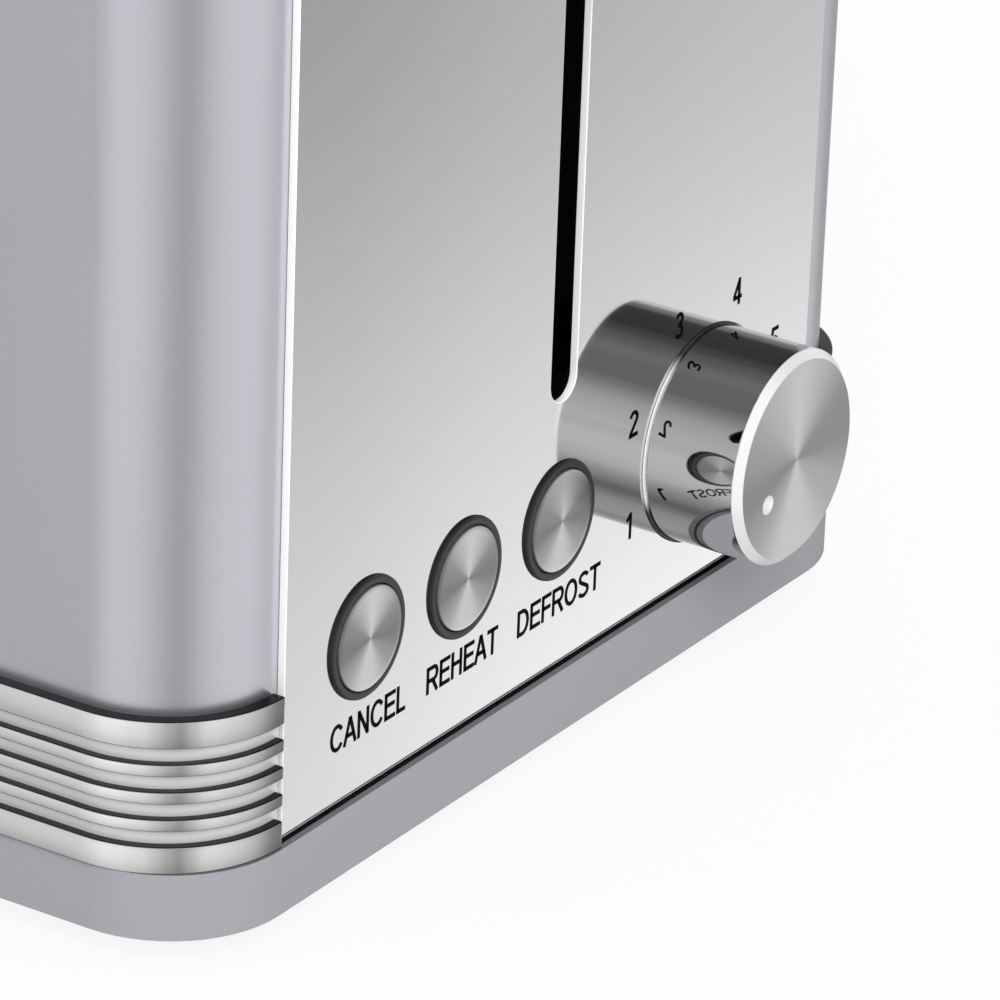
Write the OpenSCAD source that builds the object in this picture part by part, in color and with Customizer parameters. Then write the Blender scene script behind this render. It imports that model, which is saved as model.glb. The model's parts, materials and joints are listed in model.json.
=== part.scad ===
// Two-slice pop-up toaster with a ribbed chrome belt, polished end panels and a painted wrap-round shell.
// X runs across the toaster, +Y runs from the control end to the rear, and Z = 0 is the table.

/* [Body] */
// Width over the painted shell
body_w = 170.8; // [164:0.2:182]
// Length from the face of the front panel to the face of the rear panel
body_len = 250; // [242:1:290]
// Height of the painted shell above the table
body_h = 193; // [188:1:215]
// Radius of the shell's edges beside the end panels
corner_r = 17; // [12:0.5:18]
// Radius of the shell's top shoulders
shoulder_r = 35; // [31:0.5:36]
// Thickness of the shell's sheet steel
shell_t = 1; // [0.6:0.1:1.4]

/* [End panels] */
// Width of the polished end panels
panel_w = 134; // [128:1:136]
// Thickness of the end panels
panel_t = 1.2; // [0.8:0.1:2]
// Gap between an end panel and the plinth below it
panel_gap = 0.8; // [0.4:0.1:1.5]
// Distance the shell's flange reaches in behind a panel
panel_lap = 8; // [5:0.5:9]

/* [Plinth] */
// Height of the rubber feet
foot_h = 4; // [3:0.5:7]
// Radius of a rubber foot
foot_r = 9; // [7:0.5:10]
// Radius of the screws through the feet
foot_screw_r = 1.6; // [1.3:0.1:1.8]
// Wall of the bosses round the feet's screws
boss_wall = 3; // [2:0.1:3.5]
// Distance of the feet from the sides of the shell
foot_inset = 18; // [16:0.5:20]
// Distance of the feet from the end panels' faces
foot_end = 23; // [21:0.5:26]
// Height of the plinth
plinth_h = 9.8; // [9:0.1:13]
// Distance the plinth stands out beyond the shell's sides
plinth_proud = 1.6; // [1.2:0.1:2]
// Distance the plinth stands out beyond the end panels
plinth_end = 1.2; // [0.8:0.1:2]
// Radius of the plinth's corners
plinth_r = 18; // [14:0.5:21]
// Thickness of the plinth's outer wall
plinth_wall = 3; // [2.6:0.1:3.5]
// Thickness of the plinth's floor
floor_t = 2.2; // [1.6:0.1:2.6]
// Width of the lip in front of the groove below the front panel
ledge_w = 1; // [0.8:0.1:1.1]
// Depth of the groove below the front panel
ledge_groove = 2; // [1:0.1:3]
// Number of vent slots in the plinth's floor
floor_vents = 6; // [2:1:8]
// Width of a vent slot in the plinth's floor
floor_vent_w = 4; // [3:0.5:6]
// Distance between the floor's vent slots
floor_vent_pitch = 14; // [10:1:16]

/* [Ribbed belt] */
// Distance the belt's ribs stand out beyond the shell
belt_proud = 2.1; // [1.8:0.1:3]
// Depth of the grooves between the ribs
groove_depth = 1.5; // [0.8:0.1:1.6]
// Height of the top and bottom ribs
end_rib_h = 4; // [3:0.1:6]
// Height of each rib between them
rib_h = 1.8; // [1.2:0.1:3]
// Height of each groove
groove_h = 2.25; // [1.2:0.05:3]
// Number of narrow ribs between the top and bottom ribs
mid_ribs = 3; // [1:1:5]
// Gap between a belt's end and the edge of the end panel
belt_end_gap = 1.2; // [0.6:0.1:3]

/* [Top plate and bread slots] */
// Width of the polished top plate
top_w = 98; // [97.5:0.5:99]
// Length of the polished top plate
top_len = 206; // [196:1:208]
// Thickness of the top plate
top_t = 1.2; // [0.8:0.1:2]
// Radius of the top plate's corners
top_r = 12; // [6:1:16]
// Distance the top plate laps over the shell around its opening
top_lap = 4; // [3:0.5:4]
// Length of a bread slot
slot_len = 140; // [132:1:146]
// Width of a bread slot
slot_w = 33; // [30:0.5:33]
// Distance between the centre lines of the two bread slots
slot_pitch = 54; // [53:0.5:54]
// Corner radius of a bread slot
slot_r = 4; // [2:0.5:8]
// Depth of the turned-down lips of the bread slots
lip_h = 7; // [5:0.5:8]
// Thickness of the lips' sheet
lip_t = 0.8; // [0.5:0.1:0.9]

/* [Buttons] */
// Height of the buttons and the dial above the top of the feet
control_z = 33; // [31:0.5:40]
// Distance between neighbouring buttons
button_pitch = 23.9; // [21:0.1:25]
// Radius of a button's metal cap
button_r = 7.5; // [6.5:0.1:8.5]
// Thickness of a button's metal cap
button_cap_t = 0.9; // [0.6:0.1:1.5]
// Distance a button's cap stands out beyond the panel's face
button_proud = 0.75; // [0.6:0.05:1.5]
// Distance a button travels when it is pressed
button_travel = 2; // [1.5:0.1:2.2]
// Width of the black collar round a button
collar_w = 1.35; // [1:0.05:2]
// Distance a collar stands out beyond the panel's face
collar_proud = 0.55; // [0.3:0.05:0.6]
// Radial clearance between a button and its collar
button_fit = 0.08; // [0.05:0.01:0.1]

/* [Control board] */
// Depth of the control compartment, from the panel's face to the first chassis wall
bay_len = 62; // [60:0.5:70]
// Distance from the front panel's face to the board
board_y = 20; // [19:0.5:22]
// Thickness of the board
board_t = 1.6; // [1:0.1:2]
// Height of the control housing and its board
housing_h = 33; // [30:0.5:33]
// Thickness of the control housing's plate
housing_t = 2.5; // [2:0.1:3]
// Gap between the control housing and the shell's flanges
housing_gap = 0.75; // [0.5:0.05:1.5]
// Width of the switches' cases
switch_w = 6; // [5:0.5:8]
// Width of the board's transformer
transformer_w = 16; // [12:1:18]
// Height of the board's transformer above the board
transformer_h = 12; // [8:1:16]
// Width of the board's timer chip
chip_w = 14; // [10:1:16]
// Radius of the board's capacitor
capacitor_r = 5; // [4:0.5:6]
// Height of the board's capacitor above the board
capacitor_h = 14; // [10:1:18]
// Radius of the posts that carry the board
post_r = 3; // [2.5:0.1:3.3]
// Distance of the posts from the housing's edges
post_inset = 4.5; // [4:0.1:5]
// Radius of the board's screws
board_screw_r = 1; // [0.8:0.1:1.2]
// Height of the push switches
switch_h = 3.4; // [2.5:0.1:3.6]
// Height of a push switch's own key
switch_key = 1.3; // [0.8:0.1:1.5]
// Radius of the dial control's case
pot_r = 8.5; // [7.5:0.1:9]
// Depth of the dial control's case
pot_len = 8; // [6:0.5:9]

/* [Dial] */
// Distance of the dial's axis from the centre line
dial_x = 38.4; // [36:0.2:40]
// Radius of the dial
dial_r = 16; // [13:0.5:17]
// Distance the dial stands out beyond the panel's face
dial_h = 15.8; // [13:0.1:20]
// Chamfer round the dial's face
dial_chamfer = 1.2; // [0.6:0.1:2]
// Wall thickness of the dial's chrome shell
dial_wall = 1.8; // [1.4:0.1:2.5]
// Thickness of the spun disc in the dial's face
dial_face_t = 0.5; // [0.3:0.1:1]
// Radius of the pointer dimple
dimple_r = 1.45; // [1:0.05:2]
// Distance of the pointer dimple from the dial's axis
dimple_at = 8.8; // [6:0.1:10]
// Angle of the pointer dimple from the horizontal when the dial is at its low stop
dimple_angle = 211; // [200:1:220]
// Radius of the dial's shaft
shaft_r = 3; // [2.5:0.1:3.2]
// Gap between the dial and the front panel
dial_gap = 0.5; // [0.4:0.1:1]
// Radial running clearance round shafts and rods
run_fit = 0.05; // [0.02:0.01:0.1]
// Radial clearance of screws and bushes in their holes
hole_fit = 0.1; // [0.05:0.01:0.15]

/* [Lever and carriage] */
// Width of the lever's slot in the front panel
lever_slot_w = 6.6; // [6:0.1:8]
// Distance the lever's slot runs on above the arm
slot_over = 10; // [6:0.5:12]
// Distance the lever's slot runs on below the arm
slot_under = 6; // [3:0.5:6]
// Distance of the lever's centre below the top of the shell when it is up
lever_drop = 50; // [45:0.5:52]
// Height of the lever's centre above the top of the feet when it is down
lever_low = 61; // [58:0.5:68]
// Height of the lever's arm
lever_arm_h = 8; // [6:0.5:10]
// Thickness of the lever's arm
lever_arm_t = 3; // [2:0.1:4]
// Distance the lever's knob stands out beyond the panel's face
lever_reach = 27; // [24:0.5:32]
// Width of the lever's knob
lever_knob_w = 36; // [28:1:44]
// Height of the lever's knob
lever_knob_h = 15; // [12:0.5:18]
// Length of the lever's knob, front to back
lever_knob_len = 20; // [16:0.5:20]
// Radius of the carriage's guide rod
rod_r = 3; // [2.5:0.1:3.5]
// Distance of the guide rod in front of the chassis wall
rod_gap = 12; // [11.5:0.5:14]
// Width of the guide rod's bracket
bracket_w = 44; // [42:1:60]
// Height of the bracket's flange on the chassis wall
bracket_flange = 10; // [6:1:12]
// Height of the rubber bumper on the guide rod
bumper_h = 5; // [4:0.5:8]
// Height of the carriage's sliding block
block_h = 34; // [28:1:36]
// Wall of the sliding block round the guide rod
block_wall = 4; // [3:0.5:4.5]
// Thickness of the carriage's steel plate
carriage_t = 1.2; // [1:0.1:2]
// Width of the bread racks
rack_w = 14; // [10:0.5:16]
// Height of the bread racks
rack_h = 8; // [6:0.5:10]
// Thickness of the bread racks' web
rack_web = 2; // [1.5:0.1:3]
// Height of the lever's arm above the underside of the carriage
arm_rise = 22; // [18:0.5:24]
// Thickness of the carriage's two tabs
tab_t = 1.5; // [1:0.1:2]
// Height of the spring's tab above the underside of the carriage
tab_rise = 4; // [3:0.5:8]
// Margin of the spring's tab round the spring
tab_edge = 1; // [0.8:0.1:1.5]

/* [Catch magnet and spring] */
// Distance of the catch magnet from the centre line
magnet_x = 22; // [21:0.5:24]
// Radius of the magnet's core
core_r = 4; // [3:0.1:4.5]
// Thickness of the magnet's winding
coil_w = 3; // [2:0.1:3.2]
// Thickness of the armature that the magnet holds
armature_t = 4; // [3:0.1:5]
// Half the width of the armature
armature_r = 7; // [6:0.5:8]
// Gap between the armature and the magnet when the lever is down
magnet_gap = 0.2; // [0.1:0.05:0.4]
// Distance of the lifting spring from the centre line
spring_x = 14; // [13:0.5:16]
// Radius of the lifting spring
spring_r = 4; // [3:0.1:4.4]
// Radius of the lifting spring's wire
spring_wire = 0.6; // [0.4:0.05:0.8]
// Number of turns of the lifting spring
spring_turns = 14; // [10:1:18]

/* [Chassis and heaters] */
// Thickness of the chassis plates
chassis_t = 0.8; // [0.6:0.1:1.2]
// Width of the chassis walls
wall_w = 120; // [117:1:122]
// Thickness of the reflectors
reflector_t = 0.5; // [0.4:0.1:0.8]
// Thickness of the mica cards
mica_t = 0.6; // [0.4:0.1:1]
// Distance of a mica card from the centre line of its bread slot
mica_at = 21; // [20.5:0.1:22]
// Height of the mica cards' lower edge above the chassis base
mica_rise = 20; // [16:1:24]
// Distance of the mica cards' upper edge below the top of the chassis walls
mica_drop = 22; // [16:1:30]
// Number of turns of heating ribbon on each card
ribbon_turns = 14; // [8:1:20]
// Height of the heating ribbon
ribbon_h = 1.4; // [1:0.1:2]
// Thickness of the heating ribbon
ribbon_t = 0.3; // [0.2:0.05:0.4]
// Gap between an outer mica card and its reflector
reflector_gap = 7; // [5:0.5:7]
// Distance of a bread guide's wires from the centre line of its slot when it is open
guide_open = 16.5; // [16:0.1:17]
// Distance a bread guide moves inwards as the lever goes down
guide_close = 5; // [3:0.1:5]
// Radius of the bread guides' wires
wire_r = 1; // [0.8:0.1:1.2]
// Number of upright wires in a bread guide
guide_wires = 10; // [6:1:14]
// Clearance of a bread guide in its slots
guide_fit = 0.2; // [0.1:0.05:0.3]

/* [Crumb tray] */
// Distance between the crumb tray's sides and the bosses of the feet
tray_side = 3.8; // [3.5:0.1:10]
// Depth of the crumb tray
tray_h = 4.6; // [3.5:0.1:4.8]
// Thickness of the crumb tray's sheet
tray_t = 0.8; // [0.6:0.1:1]
// Distance the tray's grip stands out beyond the plinth
tray_grip = 5; // [4:0.5:8]
// Width of the tray's grip
grip_w = 60; // [40:1:80]
// Clearance round the crumb tray
tray_fit = 0.3; // [0.2:0.05:0.4]

/* [Rear] */
// Distance of the cord gland from the shell's side
gland_inset = 40.4; // [37:0.1:54]
// Height of the cord gland above the top of the feet
gland_z = 30; // [22:1:40]
// Radius of the cord gland's bore
gland_bore = 3.6; // [3:0.1:4.5]
// Wall thickness of the cord gland
gland_wall = 2.9; // [2:0.1:3.5]
// Depth of the cord gland behind the rear panel's face
gland_len = 8; // [6:0.5:10]
// Width of the terminal block
terminal_w = 28; // [22:1:30]
// Length of the terminal block, front to back
terminal_len = 12; // [8:1:13]
// Height of the terminal block
terminal_h = 14; // [8:1:14]
// Distance of the terminal block behind the chassis wall
terminal_gap = 8; // [4:1:10]
// Distance the gland stands out beyond the rear panel
gland_proud = 2.2; // [1.5:0.1:4]
// Radius of the rear panel's screws
panel_screw_r = 1.2; // [1:0.1:1.5]
// Length of the rear panel's screws
panel_screw_len = 8; // [6:0.5:10]
// Height of the lower panel screws above the panel's lower edge
screw_rise = 14; // [10:1:20]
// Distance of the upper panel screws below the panel's top
screw_drop = 26; // [24:1:40]
// Number of vent slots in the rear panel
vents = 9; // [5:2:11]
// Width of a vent slot in the rear panel
vent_w = 3; // [2:0.5:4]
// Height of the vent slots in the rear panel
vent_h = 30; // [20:1:40]
// Distance between the rear panel's vent slots
vent_pitch = 8; // [6:0.5:10]
// Distance of the rear panel's vent slots below its top
vent_drop = 74; // [60:1:80]

/* [Hidden] */

$fn = 64;
cut = 1; // how far cutters run past what they cut

// outer body; y is measured from the front panel's face
half_w = body_w / 2;
deck_z = foot_h + plinth_h;
panel_z = deck_z + panel_gap;
panel_inset = half_w - panel_w / 2;
panel_top = body_h - panel_inset;
flange_in = panel_inset + panel_lap;
shell_front = panel_t;
shell_rear = body_len - panel_t;
top_y0 = (body_len - top_len) / 2;
top_y1 = (body_len + top_len) / 2;
belt_h = 2 * end_rib_h + mid_ribs * rib_h + (mid_ribs + 1) * groove_h;
belt_gap = 0.1;
total_len = lever_reach + body_len + plinth_end + tray_grip;
face_y = lever_reach - total_len / 2;
foot_x = half_w - foot_inset;
foot_y = [foot_end, body_len - foot_end];
boss_r = foot_screw_r + boss_wall;

// chassis, with the chambers below the bread slots between its two walls
base_z = deck_z - 0.4;
base_under = base_z - chassis_t;
base_gap = 5;
slot_margin = 4;
wall_front = bay_len;
slot_front = wall_front + slot_margin;
slot_back = slot_front + slot_len;
wall_rear = slot_back + slot_margin;
wall_top = body_h - lip_h - 2;
mica_bottom = base_z + mica_rise;
mica_top = wall_top - mica_drop;
card_x = [for (s = [-1, 1], side = [-1, 1]) s * slot_pitch / 2 + side * mica_at];
reflector_x = slot_pitch / 2 + mica_at + reflector_gap;

// carriage
lever_z = body_h - lever_drop;
lever_travel = lever_z - foot_h - lever_low;
rod_y = wall_front - rod_gap;
block_front = rod_y - rod_r - block_wall;
plate_y = rod_y + rod_r + block_wall;
carriage_z = lever_z - lever_arm_h / 2 - arm_rise;
block_top = carriage_z + block_h;
block_half_w = rod_r + block_wall;
arm_top = lever_z + lever_arm_h / 2;
arm_front = 8 - lever_reach;
rack_x = slot_pitch / 2;
rack_fit = 0.4;
tab_z = carriage_z + tab_rise;
magnet_top = carriage_z - armature_t - lever_travel - magnet_gap;

// bread guides, whose rails lie in slots of the two chassis walls
rail_r = wire_r + 0.3;
rail_end = 1.2;
guide_low = mica_bottom + 8;
guide_high = wall_top - 6;
bracket_z = guide_high - 6;
bracket_front = block_front - 2;

// controls
ctl_z = foot_h + control_z;
collar_r = button_r + button_fit + collar_w;
housing_w = 2 * (half_w - flange_in - housing_gap);
housing_low = ctl_z - housing_h / 2;
housing_high = ctl_z + housing_h / 2;
post_x = housing_w / 2 - post_inset;
post_z = [housing_low + post_inset, housing_high - post_inset];
switch_front = board_y - switch_h - switch_key;
plunger_end = switch_front - button_travel - 0.3;
collar_end = plunger_end - 3;
bush_r = shaft_r + 1.5;
nut_t = 2;
cap_back = button_cap_t - button_proud;
disc_r = dial_r - dial_chamfer;

// crumb tray
tray_w = 2 * (foot_x - boss_r - tray_side);
tray_z = foot_h + floor_t + tray_fit;
tray_front = wall_front - 4;
tray_back = body_len - 1;
tray_rib_x = tray_w / 2 + tray_fit + 1;

// rear
screw_x = panel_w / 2 - panel_lap / 2;
screw_z = [panel_z + screw_rise, panel_top - screw_drop];
screw_head = 1.8;
gland_x = half_w - gland_inset;
gland_flange = 2.6;

paint = [0.69, 0.69, 0.75];
plinth_paint = [0.64, 0.64, 0.68];
chrome = [0.82, 0.82, 0.82];
steel = [0.72, 0.73, 0.74];
dark = [0.09, 0.09, 0.10];

function button_x(i) = (i - 2) * button_pitch;

module place() translate([0, face_y, 0]) children();
module both_sides() {
  children();
  mirror([1, 0, 0]) children();
}
module box(x0, x1, y0, y1, z0, z1) translate([x0, y0, z0]) cube([x1 - x0, y1 - y0, z1 - z0]);
module along_y(y0, y1) translate([0, y1, 0]) rotate([90, 0, 0]) linear_extrude(y1 - y0) children();
module rod(x, z, r, y0, y1) translate([x, y1, z]) rotate([90, 0, 0]) cylinder(h = y1 - y0, r = r);
module at_feet() for (x = [-foot_x, foot_x], y = foot_y) translate([x, y, 0]) children();

// rectangle with rounded corners, between two x and two y values
module rounded(x0, x1, y0, y1, r) {
  translate([x0 + r, y0]) square([x1 - x0 - 2 * r, y1 - y0]);
  translate([x0, y0 + r]) square([x1 - x0, y1 - y0 - 2 * r]);
  for (x = [x0 + r, x1 - r], y = [y0 + r, y1 - r]) translate([x, y]) circle(r);
}

// the shell's wall in plan, with its side at x = 0: a rounded edge and a flange at each end
module shell_section() intersection() {
  difference() {
    rounded(0, body_w, shell_front, shell_rear, corner_r);
    rounded(shell_t, body_w, shell_front + shell_t, shell_rear - shell_t, corner_r - shell_t);
  }
  square([flange_in, body_len]);
}

// the section runs up both sides, round the shoulders and across the top
module body_shell() place() color(paint) difference() {
  union() {
    both_sides() {
      translate([-half_w, 0, deck_z]) linear_extrude(body_h - shoulder_r - deck_z) shell_section();
      translate([half_w - shoulder_r, 0, body_h - shoulder_r]) rotate([-90, 0, 0]) rotate([0, 0, -90])
        rotate_extrude(angle = 90) translate([shoulder_r, 0]) mirror([1, 0]) shell_section();
    }
    translate([shoulder_r - half_w, 0, body_h]) rotate([0, 90, 0])
      linear_extrude(body_w - 2 * shoulder_r) shell_section();
  }
  translate([0, 0, body_h - shell_t - cut]) linear_extrude(shell_t + 2 * cut)
    rounded(top_lap - top_w / 2, top_w / 2 - top_lap, top_y0 + top_lap, top_y1 - top_lap, top_r - top_lap);
  panel_screw_holes(panel_screw_r + run_fit);
}

// both bread slots, grown by the thickness of their lips where the lips' outer faces are wanted
module slot_outlines(grow = 0) for (s = [-1, 1]) rounded(
  s * slot_pitch / 2 - slot_w / 2 - grow, s * slot_pitch / 2 + slot_w / 2 + grow,
  slot_front - grow, slot_back + grow, slot_r + grow);

module top_plate() place() color(chrome) {
  translate([0, 0, body_h]) linear_extrude(top_t) difference() {
    rounded(-top_w / 2, top_w / 2, top_y0, top_y1, top_r);
    slot_outlines();
  }
  translate([0, 0, body_h - lip_h]) linear_extrude(lip_h) difference() {
    slot_outlines(lip_t);
    slot_outlines();
  }
}

// outline of an end panel: square at the bottom, round at the top like the shell's shoulders
module panel_outline() {
  r = shoulder_r - panel_inset;
  translate([-panel_w / 2, panel_z]) square([panel_w, panel_top - panel_z - r]);
  translate([r - panel_w / 2, panel_z]) square([panel_w - 2 * r, panel_top - panel_z]);
  for (s = [-1, 1]) translate([s * (panel_w / 2 - r), panel_top - r]) circle(r);
}

// a straight slot with round ends, as wide as w
module stadium(w, z0, z1) {
  for (z = [z0 + w / 2, z1 - w / 2]) translate([0, z]) circle(w / 2);
  translate([-w / 2, z0 + w / 2]) square([w, z1 - z0 - w]);
}

module front_panel() place() color(chrome) difference() {
  along_y(0, panel_t) difference() {
    panel_outline();
    stadium(lever_slot_w, foot_h + lever_low - lever_arm_h / 2 - slot_under, arm_top + slot_over);
  }
  for (i = [0:2]) rod(button_x(i), ctl_z, collar_r + run_fit, -cut, panel_t + cut);
  rod(dial_x, ctl_z, bush_r + hole_fit, -cut, panel_t + cut);
}

module panel_screw_holes(r) for (x = [-screw_x, screw_x], z = screw_z)
  rod(x, z, r, shell_rear - shell_t - cut, body_len + cut);

module rear_panel() place() color(chrome) difference() {
  along_y(shell_rear, body_len) difference() {
    panel_outline();
    for (i = [0:vents - 1]) translate([(i - (vents - 1) / 2) * vent_pitch, 0])
      stadium(vent_w, panel_top - vent_drop, panel_top - vent_drop + vent_h);
  }
  rod(gland_x, foot_h + gland_z, gland_bore + gland_wall + hole_fit, shell_rear - cut, body_len + cut);
  panel_screw_holes(panel_screw_r + hole_fit);
}

module panel_screws() place() color(steel) for (x = [-screw_x, screw_x], z = screw_z) {
  rod(x, z, panel_screw_r, body_len - panel_screw_len, body_len);
  rod(x, z, panel_screw_r + screw_head, body_len, body_len + panel_screw_r);
}

// the belt's cross-section, with the ribs' faces at x = 0
module belt_section() difference() {
  square([belt_proud - belt_gap, belt_h]);
  for (i = [0:mid_ribs]) translate([-cut, end_rib_h + i * (rib_h + groove_h)])
    square([groove_depth + cut, groove_h]);
}

module belt_corner() rotate_extrude(angle = 90)
  translate([corner_r + belt_proud, 0]) mirror([1, 0]) belt_section();

// the belt along the left side and round its corners, cut off short of the end panels
module belt() {
  out = half_w + belt_proud;
  r = corner_r + belt_proud;
  y0 = shell_front - belt_proud;
  y1 = shell_rear + belt_proud;
  end_x = panel_w / 2 + belt_end_gap;
  intersection() {
    translate([r - out, 0, deck_z]) {
      translate([-r, y1 - r, 0]) rotate([90, 0, 0]) linear_extrude(y1 - y0 - 2 * r) belt_section();
      translate([0, y0 + r, 0]) rotate([0, 0, 180]) belt_corner();
      translate([0, y1 - r, 0]) rotate([0, 0, 90]) belt_corner();
      translate([0, y0, 0]) rotate([90, 0, 90]) linear_extrude(panel_inset) belt_section();
      translate([0, y1, 0]) mirror([0, 1, 0]) rotate([90, 0, 90]) linear_extrude(panel_inset) belt_section();
    }
    box(-out - cut, -end_x, y0 - cut, y1 + cut, 0, body_h);
  }
}
module belt_left() place() color(chrome) belt();
module belt_right() place() color(chrome) mirror([1, 0, 0]) belt();

module plinth_outline(inset = 0) rounded(
  inset - half_w - plinth_proud, half_w + plinth_proud - inset,
  inset - plinth_end, body_len + plinth_end - inset, plinth_r - inset);

module plinth() place() color(plinth_paint) difference() {
  union() {
    translate([0, 0, foot_h]) linear_extrude(floor_t) plinth_outline();
    translate([0, 0, foot_h]) linear_extrude(plinth_h) difference() {
      plinth_outline();
      plinth_outline(plinth_wall);
    }
    at_feet() translate([0, 0, foot_h]) cylinder(h = base_under - foot_h, r = boss_r);
    for (s = [-1, 1]) box(s * tray_rib_x - 1, s * tray_rib_x + 1,
      tray_front, body_len - plinth_wall, foot_h + floor_t / 2, tray_z + 3);
  }
  box(-panel_w / 2 - belt_end_gap, panel_w / 2 + belt_end_gap,
    ledge_w - plinth_end, plinth_wall + cut, deck_z - ledge_groove, deck_z + cut);
  rear = body_len + plinth_end;
  box(-tray_w / 2 - tray_fit, tray_w / 2 + tray_fit,
    rear - plinth_wall - cut, rear + cut, foot_h + floor_t, tray_z + tray_h + tray_fit);
  for (i = [0:floor_vents - 1]) translate([(i - (floor_vents - 1) / 2) * floor_vent_pitch, 0, foot_h - cut])
    linear_extrude(floor_t + 2 * cut) stadium(floor_vent_w, foot_end + 1, tray_front - 8);
  at_feet() cylinder(h = deck_z, r = foot_screw_r + hole_fit);
}

module rubber_feet() place() color(dark) at_feet() difference() {
  cylinder(h = foot_h, r1 = foot_r - 0.8, r2 = foot_r);
  translate([0, 0, -cut]) cylinder(h = foot_h + 2 * cut, r = foot_screw_r + hole_fit);
  translate([0, 0, -cut]) cylinder(h = foot_h / 2 + cut, r = foot_screw_r + 2);
}

module base_screws() place() color(steel) at_feet() {
  translate([0, 0, foot_h / 2 - 1.2]) cylinder(h = 1.2, r = foot_screw_r + 1.6);
  translate([0, 0, foot_h / 2]) cylinder(h = base_z + 2 * foot_screw_r - foot_h / 2, r = foot_screw_r);
}

module base_nuts() place() color(steel) at_feet() translate([0, 0, base_z]) difference() {
  cylinder(h = 2.4, r = foot_screw_r * 2, $fn = 6);
  translate([0, 0, -cut]) cylinder(h = 2.4 + 2 * cut, r = foot_screw_r + run_fit);
}

module chassis_base() place() color(steel) difference() {
  translate([0, 0, base_under]) linear_extrude(chassis_t) rounded(
    base_gap - half_w, half_w - base_gap, base_gap + 1, body_len - base_gap - 1, corner_r - 7);
  for (x = [-slot_pitch / 2, slot_pitch / 2]) box(x - slot_w / 2 - 3, x + slot_w / 2 + 3,
    slot_front, slot_back, base_under - cut, base_z + cut);
  at_feet() cylinder(h = base_z + cut, r = foot_screw_r + hole_fit);
}

// a chassis wall with slots for a rack's web and for the rails of the bread guides
module chassis_wall(y) place() color(steel) along_y(y, y + chassis_t) difference() {
  translate([-wall_w / 2, base_z]) square([wall_w, wall_top - base_z]);
  for (s = [-1, 1]) {
    translate([s * rack_x - rack_web / 2 - rack_fit, carriage_z - lever_travel - 1])
      square([rack_web + 2 * rack_fit, lever_travel + rack_h + 2]);
    for (side = [-1, 1], z = [guide_low, guide_high])
      translate([s * slot_pitch / 2 + side * (guide_open - guide_close / 2), z])
        square([guide_close + 2 * (rail_r + guide_fit), 2 * (rail_r + guide_fit)], center = true);
  }
}
module chassis_front_wall() chassis_wall(wall_front);
module chassis_rear_wall() chassis_wall(wall_rear - chassis_t);

// an upright sheet that fills the length between the chassis walls
module between_walls(x, t, z0, z1)
  box(x - t / 2, x + t / 2, wall_front + chassis_t, wall_rear - chassis_t, z0, z1);

module reflector_left() place() color(steel) between_walls(-reflector_x, reflector_t, base_z, wall_top);
module reflector_right() place() color(steel) between_walls(reflector_x, reflector_t, base_z, wall_top);

module mica_cards() place() color([0.80, 0.76, 0.66])
  for (x = card_x) between_walls(x, mica_t, mica_bottom, mica_top);

module heating_ribbons() place() color([0.45, 0.42, 0.40]) {
  pitch = (mica_top - mica_bottom) / (ribbon_turns + 0.4);
  for (x = card_x, s = [-1, 1], i = [0:ribbon_turns - 1])
    translate([x + s * (mica_t + ribbon_t) / 2, wall_front + 5, mica_bottom + (i + 0.7) * pitch])
      translate([-ribbon_t / 2, 0, 0]) cube([ribbon_t, wall_rear - wall_front - 10, ribbon_h]);
}

module at_posts(r, y0, y1) for (x = [-post_x, post_x], z = post_z) rod(x, z, r, y0, y1);

module control_housing() place() color(dark) difference() {
  union() {
    box(-housing_w / 2, housing_w / 2, panel_t, panel_t + housing_t, housing_low, housing_high);
    for (i = [0:2]) rod(button_x(i), ctl_z, collar_r, -collar_proud, collar_end);
    at_posts(post_r, panel_t, board_y);
  }
  for (i = [0:2]) rod(button_x(i), ctl_z, button_r + button_fit, -cut, board_y);
  rod(dial_x, ctl_z, bush_r + hole_fit, 0, board_y);
  at_posts(board_screw_r + hole_fit, board_y - 8, board_y + cut);
}

module control_board() place() color([0.16, 0.36, 0.20]) difference() {
  box(-housing_w / 2, housing_w / 2, board_y, board_y + board_t, housing_low, housing_high);
  at_posts(board_screw_r + hole_fit, board_y - cut, board_y + board_t + cut);
}

module board_screws() place() color(steel) {
  at_posts(board_screw_r, board_y - 6, board_y + board_t);
  at_posts(board_screw_r + 1.4, board_y + board_t, board_y + board_t + 1.4);
}

module board_parts() place() {
  back = board_y + board_t;
  color(dark) for (i = [0:2]) {
    box(button_x(i) - switch_w / 2, button_x(i) + switch_w / 2,
      board_y - switch_h, board_y, ctl_z - switch_w / 2, ctl_z + switch_w / 2);
    rod(button_x(i), ctl_z, 1.7, switch_front, board_y - switch_h);
  }
  transformer_x = button_x(1) - 6;
  chip_x = button_x(2) + 2;
  color([0.15, 0.25, 0.45]) box(transformer_x, transformer_x + transformer_w,
    back, back + transformer_h, ctl_z - 10, ctl_z - 10 + transformer_w);
  color([0.15, 0.15, 0.16]) box(chip_x, chip_x + chip_w, back, back + 3, ctl_z - 8, ctl_z + 2);
  color([0.10, 0.12, 0.20]) rod(dial_x - 8, ctl_z, capacitor_r, back, back + capacitor_h);
}

// the dial's rotary control: its case on the board, and a bush through housing and panel
module dial_control() place() color(steel) difference() {
  union() {
    rod(dial_x, ctl_z, pot_r, board_y - pot_len, board_y);
    rod(dial_x, ctl_z, bush_r + 2, panel_t + housing_t, board_y);
    rod(dial_x, ctl_z, bush_r, -nut_t - 0.5, board_y);
  }
  rod(dial_x, ctl_z, shaft_r + run_fit, -nut_t - 0.5 - cut, board_y - 3);
}

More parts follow.
